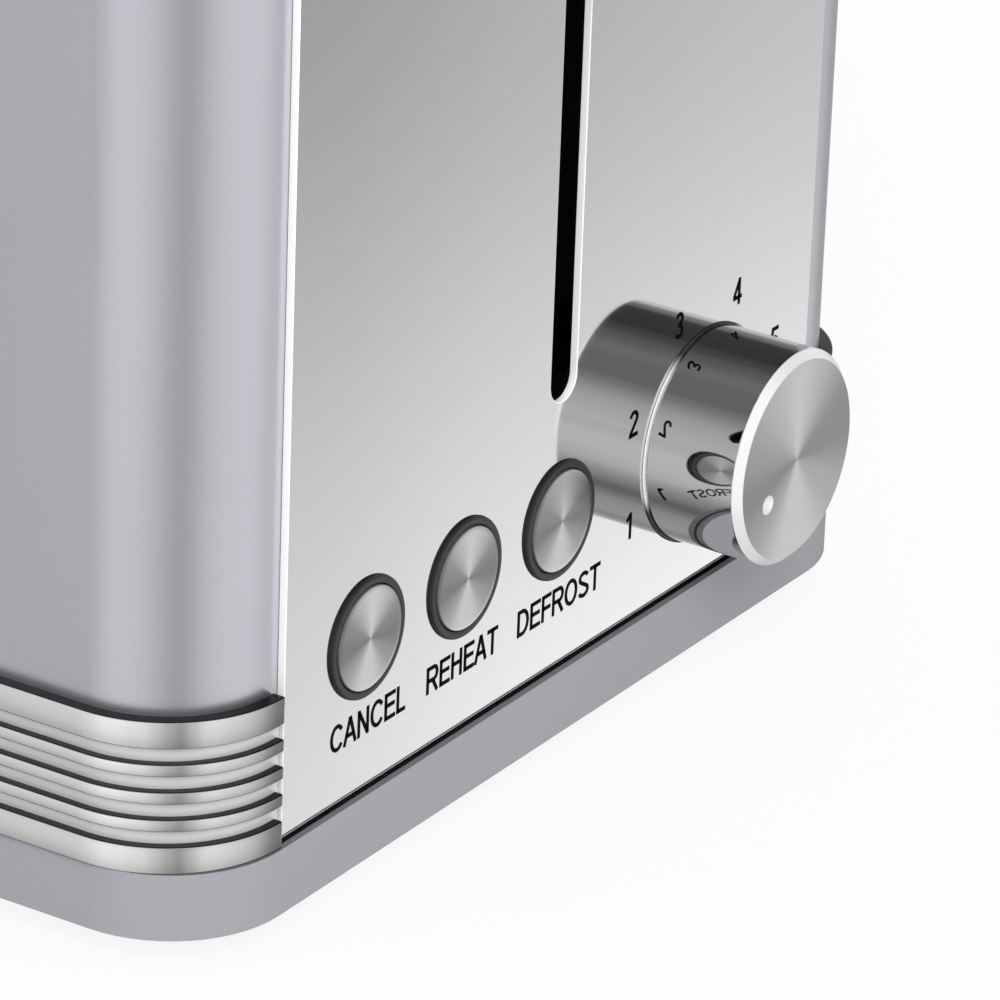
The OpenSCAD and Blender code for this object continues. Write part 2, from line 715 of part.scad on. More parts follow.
module dial_nut() place() color(steel) difference() {
  translate([dial_x, 0, ctl_z]) rotate([90, 0, 0]) cylinder(h = nut_t, r = bush_r + 3, $fn = 6);
  rod(dial_x, ctl_z, bush_r + hole_fit, -nut_t - cut, cut);
}

module dial_ring() place() color(chrome) difference() {
  rod(dial_x, ctl_z, dial_r + 0.5, 0.1 - dial_gap, 0);
  rod(dial_x, ctl_z, dial_r - dial_wall, -dial_gap - cut, cut);
}

// the dial as a turned profile, with the height above the panel as the second axis
module dial_knob() place() color(chrome) translate([dial_x, 0, ctl_z]) rotate([90, 0, 0]) rotate_extrude() {
  cap_under = dial_h - dial_face_t - 3;
  bore = shaft_r + 0.03;
  polygon([[0, cap_under], [dial_r, cap_under], [dial_r, dial_h - dial_chamfer], [disc_r, dial_h],
    [disc_r, dial_h - dial_face_t], [0, dial_h - dial_face_t]]);
  translate([dial_r - dial_wall, dial_gap]) square([dial_wall, cap_under - dial_gap]);
  translate([bore, nut_t + 1.5]) square([2.5, cap_under - nut_t - 1.5]);
}

// the spun disc in the dial's face, with a pointer dimple ground into it by a ball
module dial_face() place() color([0.78, 0.78, 0.78]) difference() {
  ball = 2.5;
  rod(dial_x, ctl_z, disc_r - 0.03, -dial_h, dial_face_t - dial_h);
  translate([dial_x + dimple_at * cos(dimple_angle), -dial_h - sqrt(ball * ball - dimple_r * dimple_r),
    ctl_z + dimple_at * sin(dimple_angle)]) sphere(ball);
}

module dial_shaft() place() color(steel) rod(dial_x, ctl_z, shaft_r, dial_face_t + 3 - dial_h, board_y - 4);

module button_cap(i) place() color([0.75, 0.75, 0.76])
  rod(button_x(i), ctl_z, button_r, -button_proud, cap_back);

// a plunger, kept from falling out by a flange behind its collar
module button_plunger(i) place() color(dark) {
  rod(button_x(i), ctl_z, button_r, cap_back, collar_end + 0.2);
  rod(button_x(i), ctl_z, button_r + 0.9, collar_end + 0.2, collar_end + 1.2);
  rod(button_x(i), ctl_z, 2.5, collar_end + 1.2, plunger_end);
}
module cancel_cap() button_cap(0);
module cancel_plunger() button_plunger(0);
module reheat_cap() button_cap(1);
module reheat_plunger() button_plunger(1);
module defrost_cap() button_cap(2);
module defrost_plunger() button_plunger(2);

module guide_rod() place() color(chrome) translate([0, rod_y, base_z])
  cylinder(h = bracket_z + chassis_t - base_z, r = rod_r);

module rod_bracket() place() color(steel) difference() {
  union() {
    box(-bracket_w / 2, bracket_w / 2, bracket_front, wall_front, bracket_z, bracket_z + chassis_t);
    box(-bracket_w / 2, bracket_w / 2, wall_front - chassis_t, wall_front,
      bracket_z - bracket_flange, bracket_z);
  }
  translate([0, rod_y, bracket_z - cut]) cylinder(h = chassis_t + 2 * cut, r = rod_r + run_fit);
}

// stops the carriage at the top
module rod_bumper() place() color(dark) translate([0, rod_y, block_top + 0.3]) difference() {
  cylinder(h = bumper_h, r = rod_r + 2.5);
  translate([0, 0, -cut]) cylinder(h = bumper_h + 2 * cut, r = rod_r + run_fit);
}

module magnet_core() place() color(steel) translate([magnet_x, rod_y, base_z])
  cylinder(h = magnet_top - base_z, r = core_r);

module magnet_coil() place() color([0.62, 0.30, 0.12]) translate([magnet_x, rod_y, base_z]) {
  coil_h = magnet_top - base_z - 2;
  cheek = 1.5;
  difference() {
    union() {
      cylinder(h = coil_h, r = core_r + coil_w);
      for (z = [0, coil_h - cheek]) translate([0, 0, z]) cylinder(h = cheek, r = core_r + coil_w + 1);
    }
    translate([0, 0, -cut]) cylinder(h = coil_h + 2 * cut, r = core_r + hole_fit);
  }
}

// tension spring between the carriage's tab and the bracket, as one tube swept along a helix
module carriage_spring() place() color(steel) {
  sides = 5;
  per_turn = 14;
  steps = spring_turns * per_turn;
  z0 = tab_z + tab_t + 0.1 + spring_wire;
  z1 = bracket_z - 0.1 - spring_wire;
  points = [for (i = [0:steps], k = [0:sides - 1]) let (
    turn = 360 * i / per_turn,
    round = 360 * k / sides,
    r = spring_r + spring_wire * cos(round),
    z = z0 + (z1 - z0) * i / steps + spring_wire * sin(round))
    [r * cos(turn) - spring_x, rod_y + r * sin(turn), z]];
  tube = [for (i = [0:steps - 1], k = [0:sides - 1]) let (next = (k + 1) % sides)
    [i * sides + k, (i + 1) * sides + k, (i + 1) * sides + next, i * sides + next]];
  start_cap = [for (k = [0:sides - 1]) k];
  end_cap = [for (k = [0:sides - 1]) steps * sides + sides - 1 - k];
  polyhedron(points, concat(tube, [start_cap, end_cap]));
}

module carriage_block() place() color(dark) difference() {
  box(-block_half_w, block_half_w, block_front, plate_y, carriage_z, block_top);
  translate([0, rod_y, carriage_z - cut]) cylinder(h = block_h + 2 * cut, r = rod_r + run_fit);
}

// the plate behind the block, with one tab for the spring and one for the armature
module carriage_plate() place() color(steel) {
  box(-rack_x - 3, rack_x + 3, plate_y, plate_y + carriage_t, carriage_z, block_top);
  box(-spring_x - spring_r - spring_wire - tab_edge, spring_r + tab_edge - spring_x,
    rod_y - spring_r - tab_edge, plate_y, tab_z, tab_z + tab_t);
  box(magnet_x - armature_r, magnet_x + armature_r, rod_y - armature_r, plate_y,
    carriage_z, carriage_z + tab_t);
}

module armature() place() color(steel)
  box(magnet_x - armature_r, magnet_x + armature_r, rod_y - armature_r, plate_y,
    carriage_z - armature_t, carriage_z);

// a bread rack: an upright web through both chassis walls, and a flat top that carries the bread
module rack(s) place() color(steel) {
  x = s * rack_x;
  top = carriage_z + rack_h;
  box(x - rack_web / 2, x + rack_web / 2, plate_y + carriage_t, wall_rear + 2, carriage_z, top);
  box(x - rack_w / 2, x + rack_w / 2, slot_front + 2, slot_back - 2, top - 1, top);
}
module rack_left() rack(-1);
module rack_right() rack(1);

module lever_arm() place() color(steel)
  box(-lever_arm_t / 2, lever_arm_t / 2, arm_front, block_front, arm_top - lever_arm_h, arm_top);

module lever_knob() place() color(chrome) difference() {
  along_y(-lever_reach, lever_knob_len - lever_reach) translate([0, lever_z]) rotate(90)
    stadium(lever_knob_h, -lever_knob_w / 2, lever_knob_w / 2);
  box(-lever_arm_t / 2 - run_fit, lever_arm_t / 2 + run_fit,
    arm_front, 0, arm_top - lever_arm_h - run_fit, arm_top + run_fit);
}

module cord_gland() place() color(dark) difference() {
  z = foot_h + gland_z;
  union() {
    rod(gland_x, z, gland_bore + gland_wall + gland_flange, body_len, body_len + gland_proud);
    rod(gland_x, z, gland_bore + gland_wall, body_len - gland_len, body_len + gland_proud);
  }
  rod(gland_x, z, gland_bore, body_len - gland_len - cut, body_len + gland_proud + cut);
}

module terminal_block() place() color([0.85, 0.84, 0.80]) box(
  gland_x - terminal_w / 2, gland_x + terminal_w / 2,
  wall_rear + terminal_gap, wall_rear + terminal_gap + terminal_len, base_z, base_z + terminal_h);

module crumb_tray() place() color(steel) difference() {
  box(-tray_w / 2, tray_w / 2, tray_front, tray_back, tray_z, tray_z + tray_h);
  box(tray_t - tray_w / 2, tray_w / 2 - tray_t,
    tray_front + tray_t, tray_back - tray_t, tray_z + tray_t, tray_z + tray_h + cut);
}

module tray_handle() place() color(plinth_paint) {
  rear = body_len + plinth_end;
  box(-tray_w / 2, tray_w / 2, tray_back, rear, tray_z, tray_z + tray_h);
  box(-grip_w / 2, grip_w / 2, rear, rear + tray_grip, tray_z + tray_h - 2, tray_z + tray_h);
}

// a bread guide: upright wires between two rails
module guide(s, side) place() color(steel) {
  x = s * slot_pitch / 2 + side * guide_open;
  reach = slot_len - 8;
  for (z = [guide_low, guide_high]) rod(x, z, rail_r, wall_front - rail_end, wall_rear + rail_end);
  for (i = [0:guide_wires - 1]) translate([x, slot_front + 4 + i * reach / (guide_wires - 1), guide_low])
    cylinder(h = guide_high - guide_low, r = wire_r, $fn = 24);
}
module guide_left_outer() guide(-1, -1);
module guide_left_inner() guide(-1, 1);
module guide_right_inner() guide(1, -1);
module guide_right_outer() guide(1, 1);

plinth();
rubber_feet();
base_screws();
base_nuts();
body_shell();
front_panel();
rear_panel();
top_plate();
belt_left();
belt_right();
chassis_base();
chassis_front_wall();
chassis_rear_wall();
reflector_left();
reflector_right();
mica_cards();
heating_ribbons();
control_housing();
control_board();
board_screws();
board_parts();
dial_control();
dial_nut();
dial_ring();
guide_rod();
rod_bracket();
rod_bumper();
magnet_core();
magnet_coil();
carriage_spring();
cord_gland();
terminal_block();
panel_screws();
carriage_block();
carriage_plate();
armature();
rack_left();
rack_right();
lever_arm();
lever_knob();
dial_knob();
dial_face();
dial_shaft();
cancel_cap();
cancel_plunger();
reheat_cap();
reheat_plunger();
defrost_cap();
defrost_plunger();
crumb_tray();
tray_handle();
guide_left_outer();
guide_left_inner();
guide_right_inner();
guide_right_outer();
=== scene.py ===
# Pop-up toaster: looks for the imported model. All places come from the frame and are in metres.
import functools
import json
import math
import bmesh
import bpy
from mathutils import Matrix, Vector
from mathutils.geometry import tessellate_polygon


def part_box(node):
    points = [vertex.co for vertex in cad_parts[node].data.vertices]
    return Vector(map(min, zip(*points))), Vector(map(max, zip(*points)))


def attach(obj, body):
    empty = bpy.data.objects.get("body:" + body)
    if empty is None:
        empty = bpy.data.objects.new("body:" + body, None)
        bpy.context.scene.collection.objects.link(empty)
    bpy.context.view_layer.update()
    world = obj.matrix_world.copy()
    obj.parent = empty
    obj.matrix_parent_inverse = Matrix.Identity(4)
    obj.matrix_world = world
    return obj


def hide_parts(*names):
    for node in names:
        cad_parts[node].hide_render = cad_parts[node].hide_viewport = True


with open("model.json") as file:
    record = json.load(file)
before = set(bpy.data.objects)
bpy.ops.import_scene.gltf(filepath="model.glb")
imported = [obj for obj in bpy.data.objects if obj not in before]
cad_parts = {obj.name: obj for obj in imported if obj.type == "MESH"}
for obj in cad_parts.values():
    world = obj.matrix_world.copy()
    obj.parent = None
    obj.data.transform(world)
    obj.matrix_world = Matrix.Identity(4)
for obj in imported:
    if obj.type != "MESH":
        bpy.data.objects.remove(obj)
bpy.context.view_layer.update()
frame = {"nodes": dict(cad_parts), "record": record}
mm = 0.001
scene = bpy.context.scene


def addObject(name, data):
    made = bpy.data.objects.new(name, data)
    scene.collection.objects.link(made)
    return made


def metres(sizes, names):
    return [sizes[name] * mm for name in names.split()]


def centreOf(node):
    low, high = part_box(node)
    return (low.x + high.x) / 2, (low.z + high.z) / 2


mainCamera = {"aim": (-15.426, 0.0, 45.554), "azimuth": 57.73, "elevation": 24.20, "roll": -2.11,
              "distance": 965.84, "lens": 253.26}  # aim is from the middle of the panel's face, in mm


def addCamera(spec, faceY):
    azimuth, elevation, roll = (math.radians(spec[key]) for key in ("azimuth", "elevation", "roll"))
    data = bpy.data.cameras.new("mainView")
    data.lens = spec["lens"]
    data.clip_start = 0.01
    scene.camera = addObject("mainView", data)
    turn = (Matrix.Rotation(-azimuth, 4, "Z") @ Matrix.Rotation(math.pi / 2 - elevation, 4, "X")
            @ Matrix.Rotation(-roll, 4, "Z"))
    aim = Vector(spec["aim"]) * mm + Vector((0, faceY, 0))
    scene.camera.matrix_world = Matrix.Translation(aim) @ turn @ Matrix.Translation((0, 0, spec["distance"] * mm))


panelLow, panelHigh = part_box("front_panel")
faceY = panelLow.y  # the front panel's face; the controls are placed from it
addCamera(mainCamera, faceY)
print("camera set")


def setInputs(node, links):
    # each input is linked to a socket or set to a value
    for label, source in links:
        if isinstance(source, bpy.types.NodeSocket):
            node.id_data.links.new(source, node.inputs[label])
        else:
            node.inputs[label].default_value = source


def addNode(tree, kind, links=(), **settings):
    node = tree.nodes.new(kind)
    for key, value in settings.items():
        setattr(node, key, value)
    setInputs(node, links)
    return node


def nodeOut(tree, kind, links=(), **settings):
    return addNode(tree, kind, links, **settings).outputs[0]


def mathNode(tree, kind, *values, clamp=False):
    return nodeOut(tree, "ShaderNodeMath", enumerate(values), operation=kind, use_clamp=clamp)


def noiseAt(tree, point, scale, detail=2.0, roughness=0.5):
    links = [("Vector", point), ("Scale", scale), ("Detail", detail), ("Roughness", roughness)]
    return addNode(tree, "ShaderNodeTexNoise", links).outputs["Fac"]


def vectorOf(tree, **parts):
    return nodeOut(tree, "ShaderNodeCombineXYZ", parts.items())


def objectPoint(tree):
    return tree.nodes.new("ShaderNodeTexCoord").outputs["Object"]


def axesOf(tree, point):
    return addNode(tree, "ShaderNodeSeparateXYZ", [(0, point)]).outputs


def mapRange(tree, value, low, high, first=0.0, last=1.0, kind="LINEAR"):
    links = [("Value", value), ("From Min", low), ("From Max", high), ("To Min", first), ("To Max", last)]
    return nodeOut(tree, "ShaderNodeMapRange", links, interpolation_type=kind)


def rampOf(tree, value, stops, kind="EASE"):
    # a grey ramp through (place, value) stops
    ramp = addNode(tree, "ShaderNodeValToRGB", [(0, value)])
    ramp.color_ramp.interpolation = kind
    elements = ramp.color_ramp.elements
    for element, (place, tone) in zip((elements[0], elements[1]), (stops[0], stops[-1])):
        element.position, element.color = place, (tone, tone, tone, 1)
    for place, tone in stops[1:-1]:
        elements.new(place).color = (tone, tone, tone, 1)
    return ramp.outputs[0]


def startGroup(name, inputs):
    tree = bpy.data.node_groups.new(name, "ShaderNodeTree")
    for label, value in inputs.items():
        tree.interface.new_socket(label, in_out="INPUT", socket_type="NodeSocketFloat").default_value = value
    return tree, tree.nodes.new("NodeGroupInput").outputs


def endGroup(tree, results):
    for label in results:
        tree.interface.new_socket(label, in_out="OUTPUT", socket_type="NodeSocketFloat")
    addNode(tree, "NodeGroupOutput", results.items())
    return tree


def makeGrain():
    # fine moulded or painted grain: a height for bump, and a roughness and a tone that wander a little
    tree, given = startGroup("fineGrain", {"Scale": 2000, "Base Roughness": 0.4, "Spread": 0.05,
                                           "Tone Spread": 0.04})
    point = objectPoint(tree)
    fine = noiseAt(tree, point, given["Scale"])
    wander = mathNode(tree, "SUBTRACT", noiseAt(tree, point, 35.0, 3), 0.5)
    speckle = mathNode(tree, "SUBTRACT", fine, 0.5)
    rough = mathNode(tree, "MULTIPLY_ADD", wander, given["Spread"], given["Base Roughness"])
    tone = mathNode(tree, "MULTIPLY_ADD", speckle, given["Tone Spread"], 1.0)
    return endGroup(tree, {"Height": fine, "Roughness": rough, "Tone": tone})


def makeBrushed():
    # fine parallel scratches along one axis of the object
    tree, given = startGroup("brushedLines", {"Along X": 1, "Along Y": 1, "Along Z": 1, "Base Roughness": 0.25,
                                              "Spread": 0.1})
    axes = axesOf(tree, objectPoint(tree))
    stretched = {axis: mathNode(tree, "MULTIPLY", axes[axis], given["Along " + axis]) for axis in "XYZ"}
    lines = noiseAt(tree, vectorOf(tree, **stretched), 1.0, 3, 0.6)
    wander = mathNode(tree, "SUBTRACT", lines, 0.5)
    rough = mathNode(tree, "MULTIPLY_ADD", wander, given["Spread"], given["Base Roughness"])
    return endGroup(tree, {"Height": lines, "Roughness": rough})


def makeSpun():
    # rings of fine scratches round the pole of a disc, read from its own polar map: U is the angle, V the radius
    tree, given = startGroup("spunRings", {"Rings": 60, "Base Roughness": 0.3, "Spread": 0.15, "Tone Spread": 0.1,
                                           "Wedge": 0.2, "Wedge Turn": 1.0})
    polar = axesOf(tree, nodeOut(tree, "ShaderNodeUVMap", uv_map="polar"))
    turn = mathNode(tree, "MULTIPLY", polar["X"], 2 * math.pi)
    around = vectorOf(tree, X=mathNode(tree, "MULTIPLY", polar["Y"], given["Rings"]),
                      Y=mathNode(tree, "COSINE", turn), Z=mathNode(tree, "SINE", turn))
    rings = noiseAt(tree, around, 1.0, 3, 0.65)
    wander = mathNode(tree, "SUBTRACT", rings, 0.5)
    rough = mathNode(tree, "MULTIPLY_ADD", wander, given["Spread"], given["Base Roughness"])
    # painted highlight and shade: two light and two dark wedges over a faint finer fan
    away = mathNode(tree, "SUBTRACT", turn, given["Wedge Turn"])
    two, four, nine = (mathNode(tree, "COSINE", mathNode(tree, "MULTIPLY", away, times))
                       for times in (2.0, 4.0, 9.0))
    fan = mathNode(tree, "MULTIPLY_ADD", nine, 0.06, mathNode(tree, "MULTIPLY", four, 0.06))
    wedges = mathNode(tree, "MULTIPLY", mathNode(tree, "ADD", two, fan), given["Wedge"])
    tone = mathNode(tree, "MULTIPLY_ADD", wander, given["Tone Spread"], 1.0)
    return endGroup(tree, {"Height": rings, "Roughness": rough, "Tone": mathNode(tree, "ADD", tone, wedges)})


def makeLedgeShade():
    # Dark on faces that look straight up, a painted shade on ledges and rib tops, and 1 elsewhere
    tree, given = startGroup("ledgeShade", {"Dark": 0.1})
    up = axesOf(tree, tree.nodes.new("ShaderNodeNewGeometry").outputs["Normal"])["Z"]
    mask = mathNode(tree, "MULTIPLY", mathNode(tree, "SUBTRACT", up, 0.35), 3.0, clamp=True)
    less = mathNode(tree, "SUBTRACT", given["Dark"], 1.0)
    return endGroup(tree, {"Tone": mathNode(tree, "MULTIPLY_ADD", mask, less, 1.0)})


shared = {"grain": makeGrain(), "brushed": makeBrushed(), "spun": makeSpun(), "ledge": makeLedgeShade()}
materials = {}


def startMaterial(name, colour, metallic, roughness):
    material = materials[name] = bpy.data.materials.new(name)
    material.use_nodes = True
    shader = material.node_tree.nodes["Principled BSDF"]
    setInputs(shader, [("Base Color", (*colour, 1)), ("Metallic", metallic), ("Roughness", roughness)])
    return material.node_tree, shader


def useGroup(tree, key, values):
    return addNode(tree, "ShaderNodeGroup", values.items(), node_tree=shared[key]).outputs


def bumpFrom(tree, shader, height, depth, strength=1.0):
    bump = nodeOut(tree, "ShaderNodeBump", [("Distance", depth), ("Strength", strength), ("Height", height)])
    setInputs(shader, [("Normal", bump)])


def tint(tree, shader, colour, *tones):
    # the base colour, made lighter or darker by one or more tones
    tone = functools.reduce(functools.partial(mathNode, tree, "MULTIPLY"), tones)
    scaled = nodeOut(tree, "ShaderNodeVectorMath", [(0, colour), ("Scale", tone)], operation="SCALE")
    setInputs(shader, [("Base Color", scaled)])


def addGrain(tree, shader, colour, roughness, scale, spread=0.08, toneSpread=0.07, ledgeDark=None, tones=()):
    # grain in the roughness and the colour, with more tones on top; gives the grain's height
    grain = useGroup(tree, "grain", {"Scale": scale, "Base Roughness": roughness, "Spread": spread,
                                     "Tone Spread": toneSpread})
    if ledgeDark is not None:
        tones = [useGroup(tree, "ledge", {"Dark": ledgeDark})["Tone"], *tones]
    setInputs(shader, [("Roughness", grain["Roughness"])])
    tint(tree, shader, colour, grain["Tone"], *tones)
    return grain["Height"]


def grainMaterial(name, colour, metallic, roughness, scale, depth, ledgeDark=None):
    # moulded plastic, rubber or enamel: one colour broken up by a fine grain
    tree, shader = startMaterial(name, colour, metallic, roughness)
    bumpFrom(tree, shader, addGrain(tree, shader, colour, roughness, scale, ledgeDark=ledgeDark), depth)


def chromeMaterial(name, colour, roughness, ledgeDark=None, endShade=None, rows=()):
    # plated or polished metal with faint hairlines; ledges, a belt's ends and a rib's foot may be darker with
    # painted shade
    tree, shader = startMaterial(name, colour, 1.0, roughness)
    tones = []
    if endShade:
        side = mathNode(tree, "ABSOLUTE", axesOf(tree, objectPoint(tree))["X"])
        tones.append(mapRange(tree, side, **endShade))
    if rows:
        tones.append(toneByHeight(tree, rows))
    addGrain(tree, shader, colour, roughness, 900, 0.05, 0.02, ledgeDark, tones)


def toneByHeight(tree, rows):
    # a tone that follows the object's height: rows of (height in metres, tone), lowest first
    low, high = rows[0][0], rows[-1][0]
    rise = mathNode(tree, "SUBTRACT", axesOf(tree, objectPoint(tree))["Z"], low)
    stops = [((height - low) / (high - low), tone) for height, tone in rows]
    return rampOf(tree, mathNode(tree, "DIVIDE", rise, high - low), stops, "LINEAR")


def ringMaterial(name, colour, metallic, roughness, node, stops):
    # a satin ring round a node's middle, with painted shade and highlight by the angle from its foot (0) to its
    # top (1)
    tree, shader = startMaterial(name, colour, metallic, roughness)
    axes, centre = axesOf(tree, objectPoint(tree)), centreOf(node)
    across, rise = (mathNode(tree, "SUBTRACT", axes[axis], centre[k]) for k, axis in enumerate("XZ"))
    angle = mathNode(tree, "ARCTAN2", rise, mathNode(tree, "ABSOLUTE", across))
    share = mathNode(tree, "ADD", mathNode(tree, "DIVIDE", angle, math.pi), 0.5)
    addGrain(tree, shader, colour, roughness, 1800, tones=[rampOf(tree, share, stops)])


def brushedMaterial(name, colour, roughness, along):
    # sheet or bar metal with scratches along one axis
    tree, shader = startMaterial(name, colour, 1.0, roughness)
    scratches = {"Along " + axis: 40 if axis == along else 2500 for axis in "XYZ"}
    lines = useGroup(tree, "brushed", {"Base Roughness": roughness, "Spread": 0.12, **scratches})
    grain = useGroup(tree, "grain", {"Scale": 300, "Base Roughness": roughness, "Tone Spread": 0.12})
    setInputs(shader, [("Roughness", lines["Roughness"])])
    tint(tree, shader, colour, grain["Tone"])
    bumpFrom(tree, shader, lines["Height"], 3e-6)


def spunMaterial(name, colour, roughness, rings, wedge, wedgeTurn):
    # metal turned on a lathe: rings of scratches that pull the light into wedges, with light and dark wedges also
    # painted into its colour
    tree, shader = startMaterial(name, colour, 1.0, roughness)
    spun = useGroup(tree, "spun", {"Rings": rings, "Base Roughness": roughness, "Spread": 0.05,
                                   "Tone Spread": 0.05, "Wedge": wedge, "Wedge Turn": math.radians(wedgeTurn)})
    tangent = nodeOut(tree, "ShaderNodeTangent", direction_type="UV_MAP", uv_map="polar")
    setInputs(shader, [("Roughness", spun["Roughness"]), ("Anisotropic", 0.85), ("Tangent", tangent)])
    tint(tree, shader, colour, spun["Tone"])
    bumpFrom(tree, shader, spun["Height"], 6e-7)


def sheetMaterial(name, colour, roughness, speckle, speckleScale, speckleColour):
    # circuit board or mica: a sheet with flecks of a second colour
    tree, shader = startMaterial(name, colour, 0.0, roughness)
    flecks = noiseAt(tree, objectPoint(tree), speckleScale, 4)
    mask = mathNode(tree, "MULTIPLY", mathNode(tree, "SUBTRACT", flecks, 0.5), speckle, clamp=True)
    mix = nodeOut(tree, "ShaderNodeMixRGB", [(0, mask), (1, (*colour, 1)), (2, (*speckleColour, 1))])
    setInputs(shader, [("Base Color", mix)])
    bumpFrom(tree, shader, flecks, 2e-5, 0.5)


# endShade is painted shade that darkens the belt's chrome towards both ends; tones paint each rib light at its top
# and shaded at its foot
beltSizes = {"proud": 2.1, "back": 0.8, "gap": 0.1, "ribs": 3, "ribHeight": 1.8, "endRibHeight": 4.0,
             "groove": 2.25, "corner": 17.0, "edge": 0.2, "backEdge": 0.05, "sink": 0.05, "backShort": -0.65,
             "backInset": 1.0, "endShade": {"low": 0.0684, "high": 0.080, "first": 0.25},
             "tones": ((0.02, 0.70), (0.45, 0.96), (0.8, 1.06))}  # tones by share of a rib's height


def ribRows(sizes):
    # each rib is painted lightest near its top and darker at its foot: painted light and shade
    rows, foot = [], 0.0
    for height in [sizes["endRibHeight"]] + [sizes["ribHeight"]] * sizes["ribs"] + [sizes["endRibHeight"]]:
        rows += [(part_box("belt_left")[0].z + (foot + share * height) * mm, tone)
                 for share, tone in sizes["tones"]]
        foot += height + sizes["groove"]
    return rows


# what a user would change about the finishes
grained = {  # colour, metallic, roughness, then the grain's size and depth, and how dark ledges are
    "shellPaint": ((0.66, 0.66, 0.715), 0.9, 0.33, 2600, 6e-6),
    # the plinth's last value gives its upward faces a painted shade
    "plinthPaint": ((0.325, 0.328, 0.352), 0.0, 0.42, 2200, 8e-6, 0.5),
    "blackPlastic": ((0.014, 0.014, 0.015), 0.0, 0.38, 2400, 1e-5),
    "rubber": ((0.02, 0.02, 0.02), 0.0, 0.75, 1500, 3e-5),
    "whitePlastic": ((0.68, 0.67, 0.63), 0.0, 0.45, 1800, 1e-5),
    "winding": ((0.42, 0.15, 0.05), 0.5, 0.35, 2500, 4e-5),
    "panelEdge": ((0.97, 0.97, 0.97), 0.0, 0.35, 1800, 2e-6),
    "cutRim": ((0.95, 0.95, 0.95), 0.35, 0.3, 1800, 2e-6),
    "ringRim": ((0.97, 0.97, 0.97), 0.5, 0.45, 1800, 2e-6),
    "capRim": ((0.15, 0.15, 0.155), 0.5, 0.35, 1800, 2e-6),
    "beltGroove": ((0.74, 0.74, 0.74), 0.25, 0.3, 1500, 2e-6),
    "ink": ((0.002, 0.002, 0.002), 0.0, 0.6, 3000, 2e-6)}
brushed = {  # colour, roughness, and the axis that the scratches follow
    "steel": ((0.58, 0.59, 0.60), 0.36, "X"),
    "rodSteel": ((0.66, 0.66, 0.66), 0.22, "Z"),
    "ribbonWire": ((0.30, 0.27, 0.25), 0.5, "Y")}
for finish, values in grained.items():
    grainMaterial(finish, *values)
for finish, values in brushed.items():
    brushedMaterial(finish, *values)
materials["ink"].node_tree.nodes["Principled BSDF"].inputs["Specular IOR Level"].default_value = 0.05
chromeMaterial("panelSteel", (0.83, 0.83, 0.83), 0.055)
chromeMaterial("chrome", (0.88, 0.88, 0.88), 0.05)
# the belt's chrome gets painted shade on its top faces, towards its ends and at each rib's foot
chromeMaterial("beltChrome", (0.90, 0.90, 0.895), 0.13, 0.05, beltSizes["endShade"], ribRows(beltSizes))
# the dial ring is painted dark at its foot and top and light between: painted shade and highlight
ringMaterial("shadedRing", (0.97, 0.97, 0.97), 0.25, 0.4, "dial_ring",
             [(0, 0.02), (0.34, 0.05), (0.41, 1), (0.765, 1), (0.86, 0.05), (1, 0.02)])
spunMaterial("spunDisc", (0.567, 0.567, 0.567), 0.30, 90, 0.40, 92)
spunMaterial("spunCap", (0.51, 0.51, 0.52), 0.28, 50, 0.48, 86)
sheetMaterial("board", (0.006, 0.009, 0.007), 0.4, 9.0, 350, (0.02, 0.03, 0.02))
sheetMaterial("mica", (0.42, 0.33, 0.20), 0.3, 6.0, 120, (0.60, 0.52, 0.38))
slotFinish = {"plinth_paint": "plinthPaint", "shell_paint": "shellPaint", "polished_panel": "panelSteel",
              "belt_chrome": "beltChrome", "spun_metal": "spunCap", "black_plastic": "blackPlastic",
              "ribbon": "ribbonWire", "white_plastic": "whitePlastic"}  # other slots and finishes share a name
nodeSlot = {part["node"]: part["material_slot"] for part in frame["record"]["subparts"]}
for nodeName, nodeObject in frame["nodes"].items():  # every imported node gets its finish, shown or not
    for materialSlot in nodeObject.material_slots:
        materialSlot.material = materials[slotFinish.get(nodeSlot[nodeName], nodeSlot[nodeName])]
print("materials made:", len(materials))


def areaOf(loop):
    return sum(p[0] * q[1] - q[0] * p[1] for p, q in zip(loop, loop[1:] + loop[:1])) / 2


def pointAt(centreU, centreV, radius, angle):
    turn = math.radians(angle)
    return centreU + radius * math.cos(turn), centreV + radius * math.sin(turn)


def arcPoints(centreU, centreV, radius, start, end, steps):
    return [pointAt(centreU, centreV, radius, start + (end - start) * k / steps) for k in range(steps + 1)]


def roundedRect(u0, u1, v0, v1, radius, steps):
    corners = ((u1 - radius, v0 + radius, -90), (u1 - radius, v1 - radius, 0),
               (u0 + radius, v1 - radius, 90), (u0 + radius, v0 + radius, 180))
    points = [point for u, v, start in corners for point in arcPoints(u, v, radius, start, start + 90, steps)]
    return [p for p, q in zip(points, points[-1:] + points) if math.dist(p, q) > 1e-6]


def circleLoop(centreU, centreV, radius):
    return arcPoints(centreU, centreV, radius, 0, 360, 96)[:-1]


def archedRect(u0, u1, v0, v1, radius):  # square below, round above
    points = [(u0, v0), (u1, v0)] + arcPoints(u1 - radius, v1 - radius, radius, 0, 90, 24)
    return points + arcPoints(u0 + radius, v1 - radius, radius, 90, 180, 24)


def roundedEdge(low, high, radius, steps=3):
    # from the lower face to the upper one: (distance into the material, height)
    bottom = arcPoints(radius, low + radius, radius, -90, -180, steps)
    return bottom + [(inset, low + high - height) for inset, height in reversed(bottom)]


def sideSteps(points, closed, least):
    # for each point of a line, the step that moves the line one unit to its left
    points = [Vector(point) for point in points]
    along = [(after - here).normalized() for here, after in zip(points, points[1:] + points[:1])]
    lefts = [Vector((-step.y, step.x)) for step in (along if closed else along[:-1])]
    before = (lefts[-1:] if closed else lefts[:1]) + lefts
    steps = []
    for first, second in zip(before[:len(points)], lefts + lefts[-1:]):
        middle = (first + second).normalized()
        steps.append(middle / max(least, middle.dot(first)))
    return steps


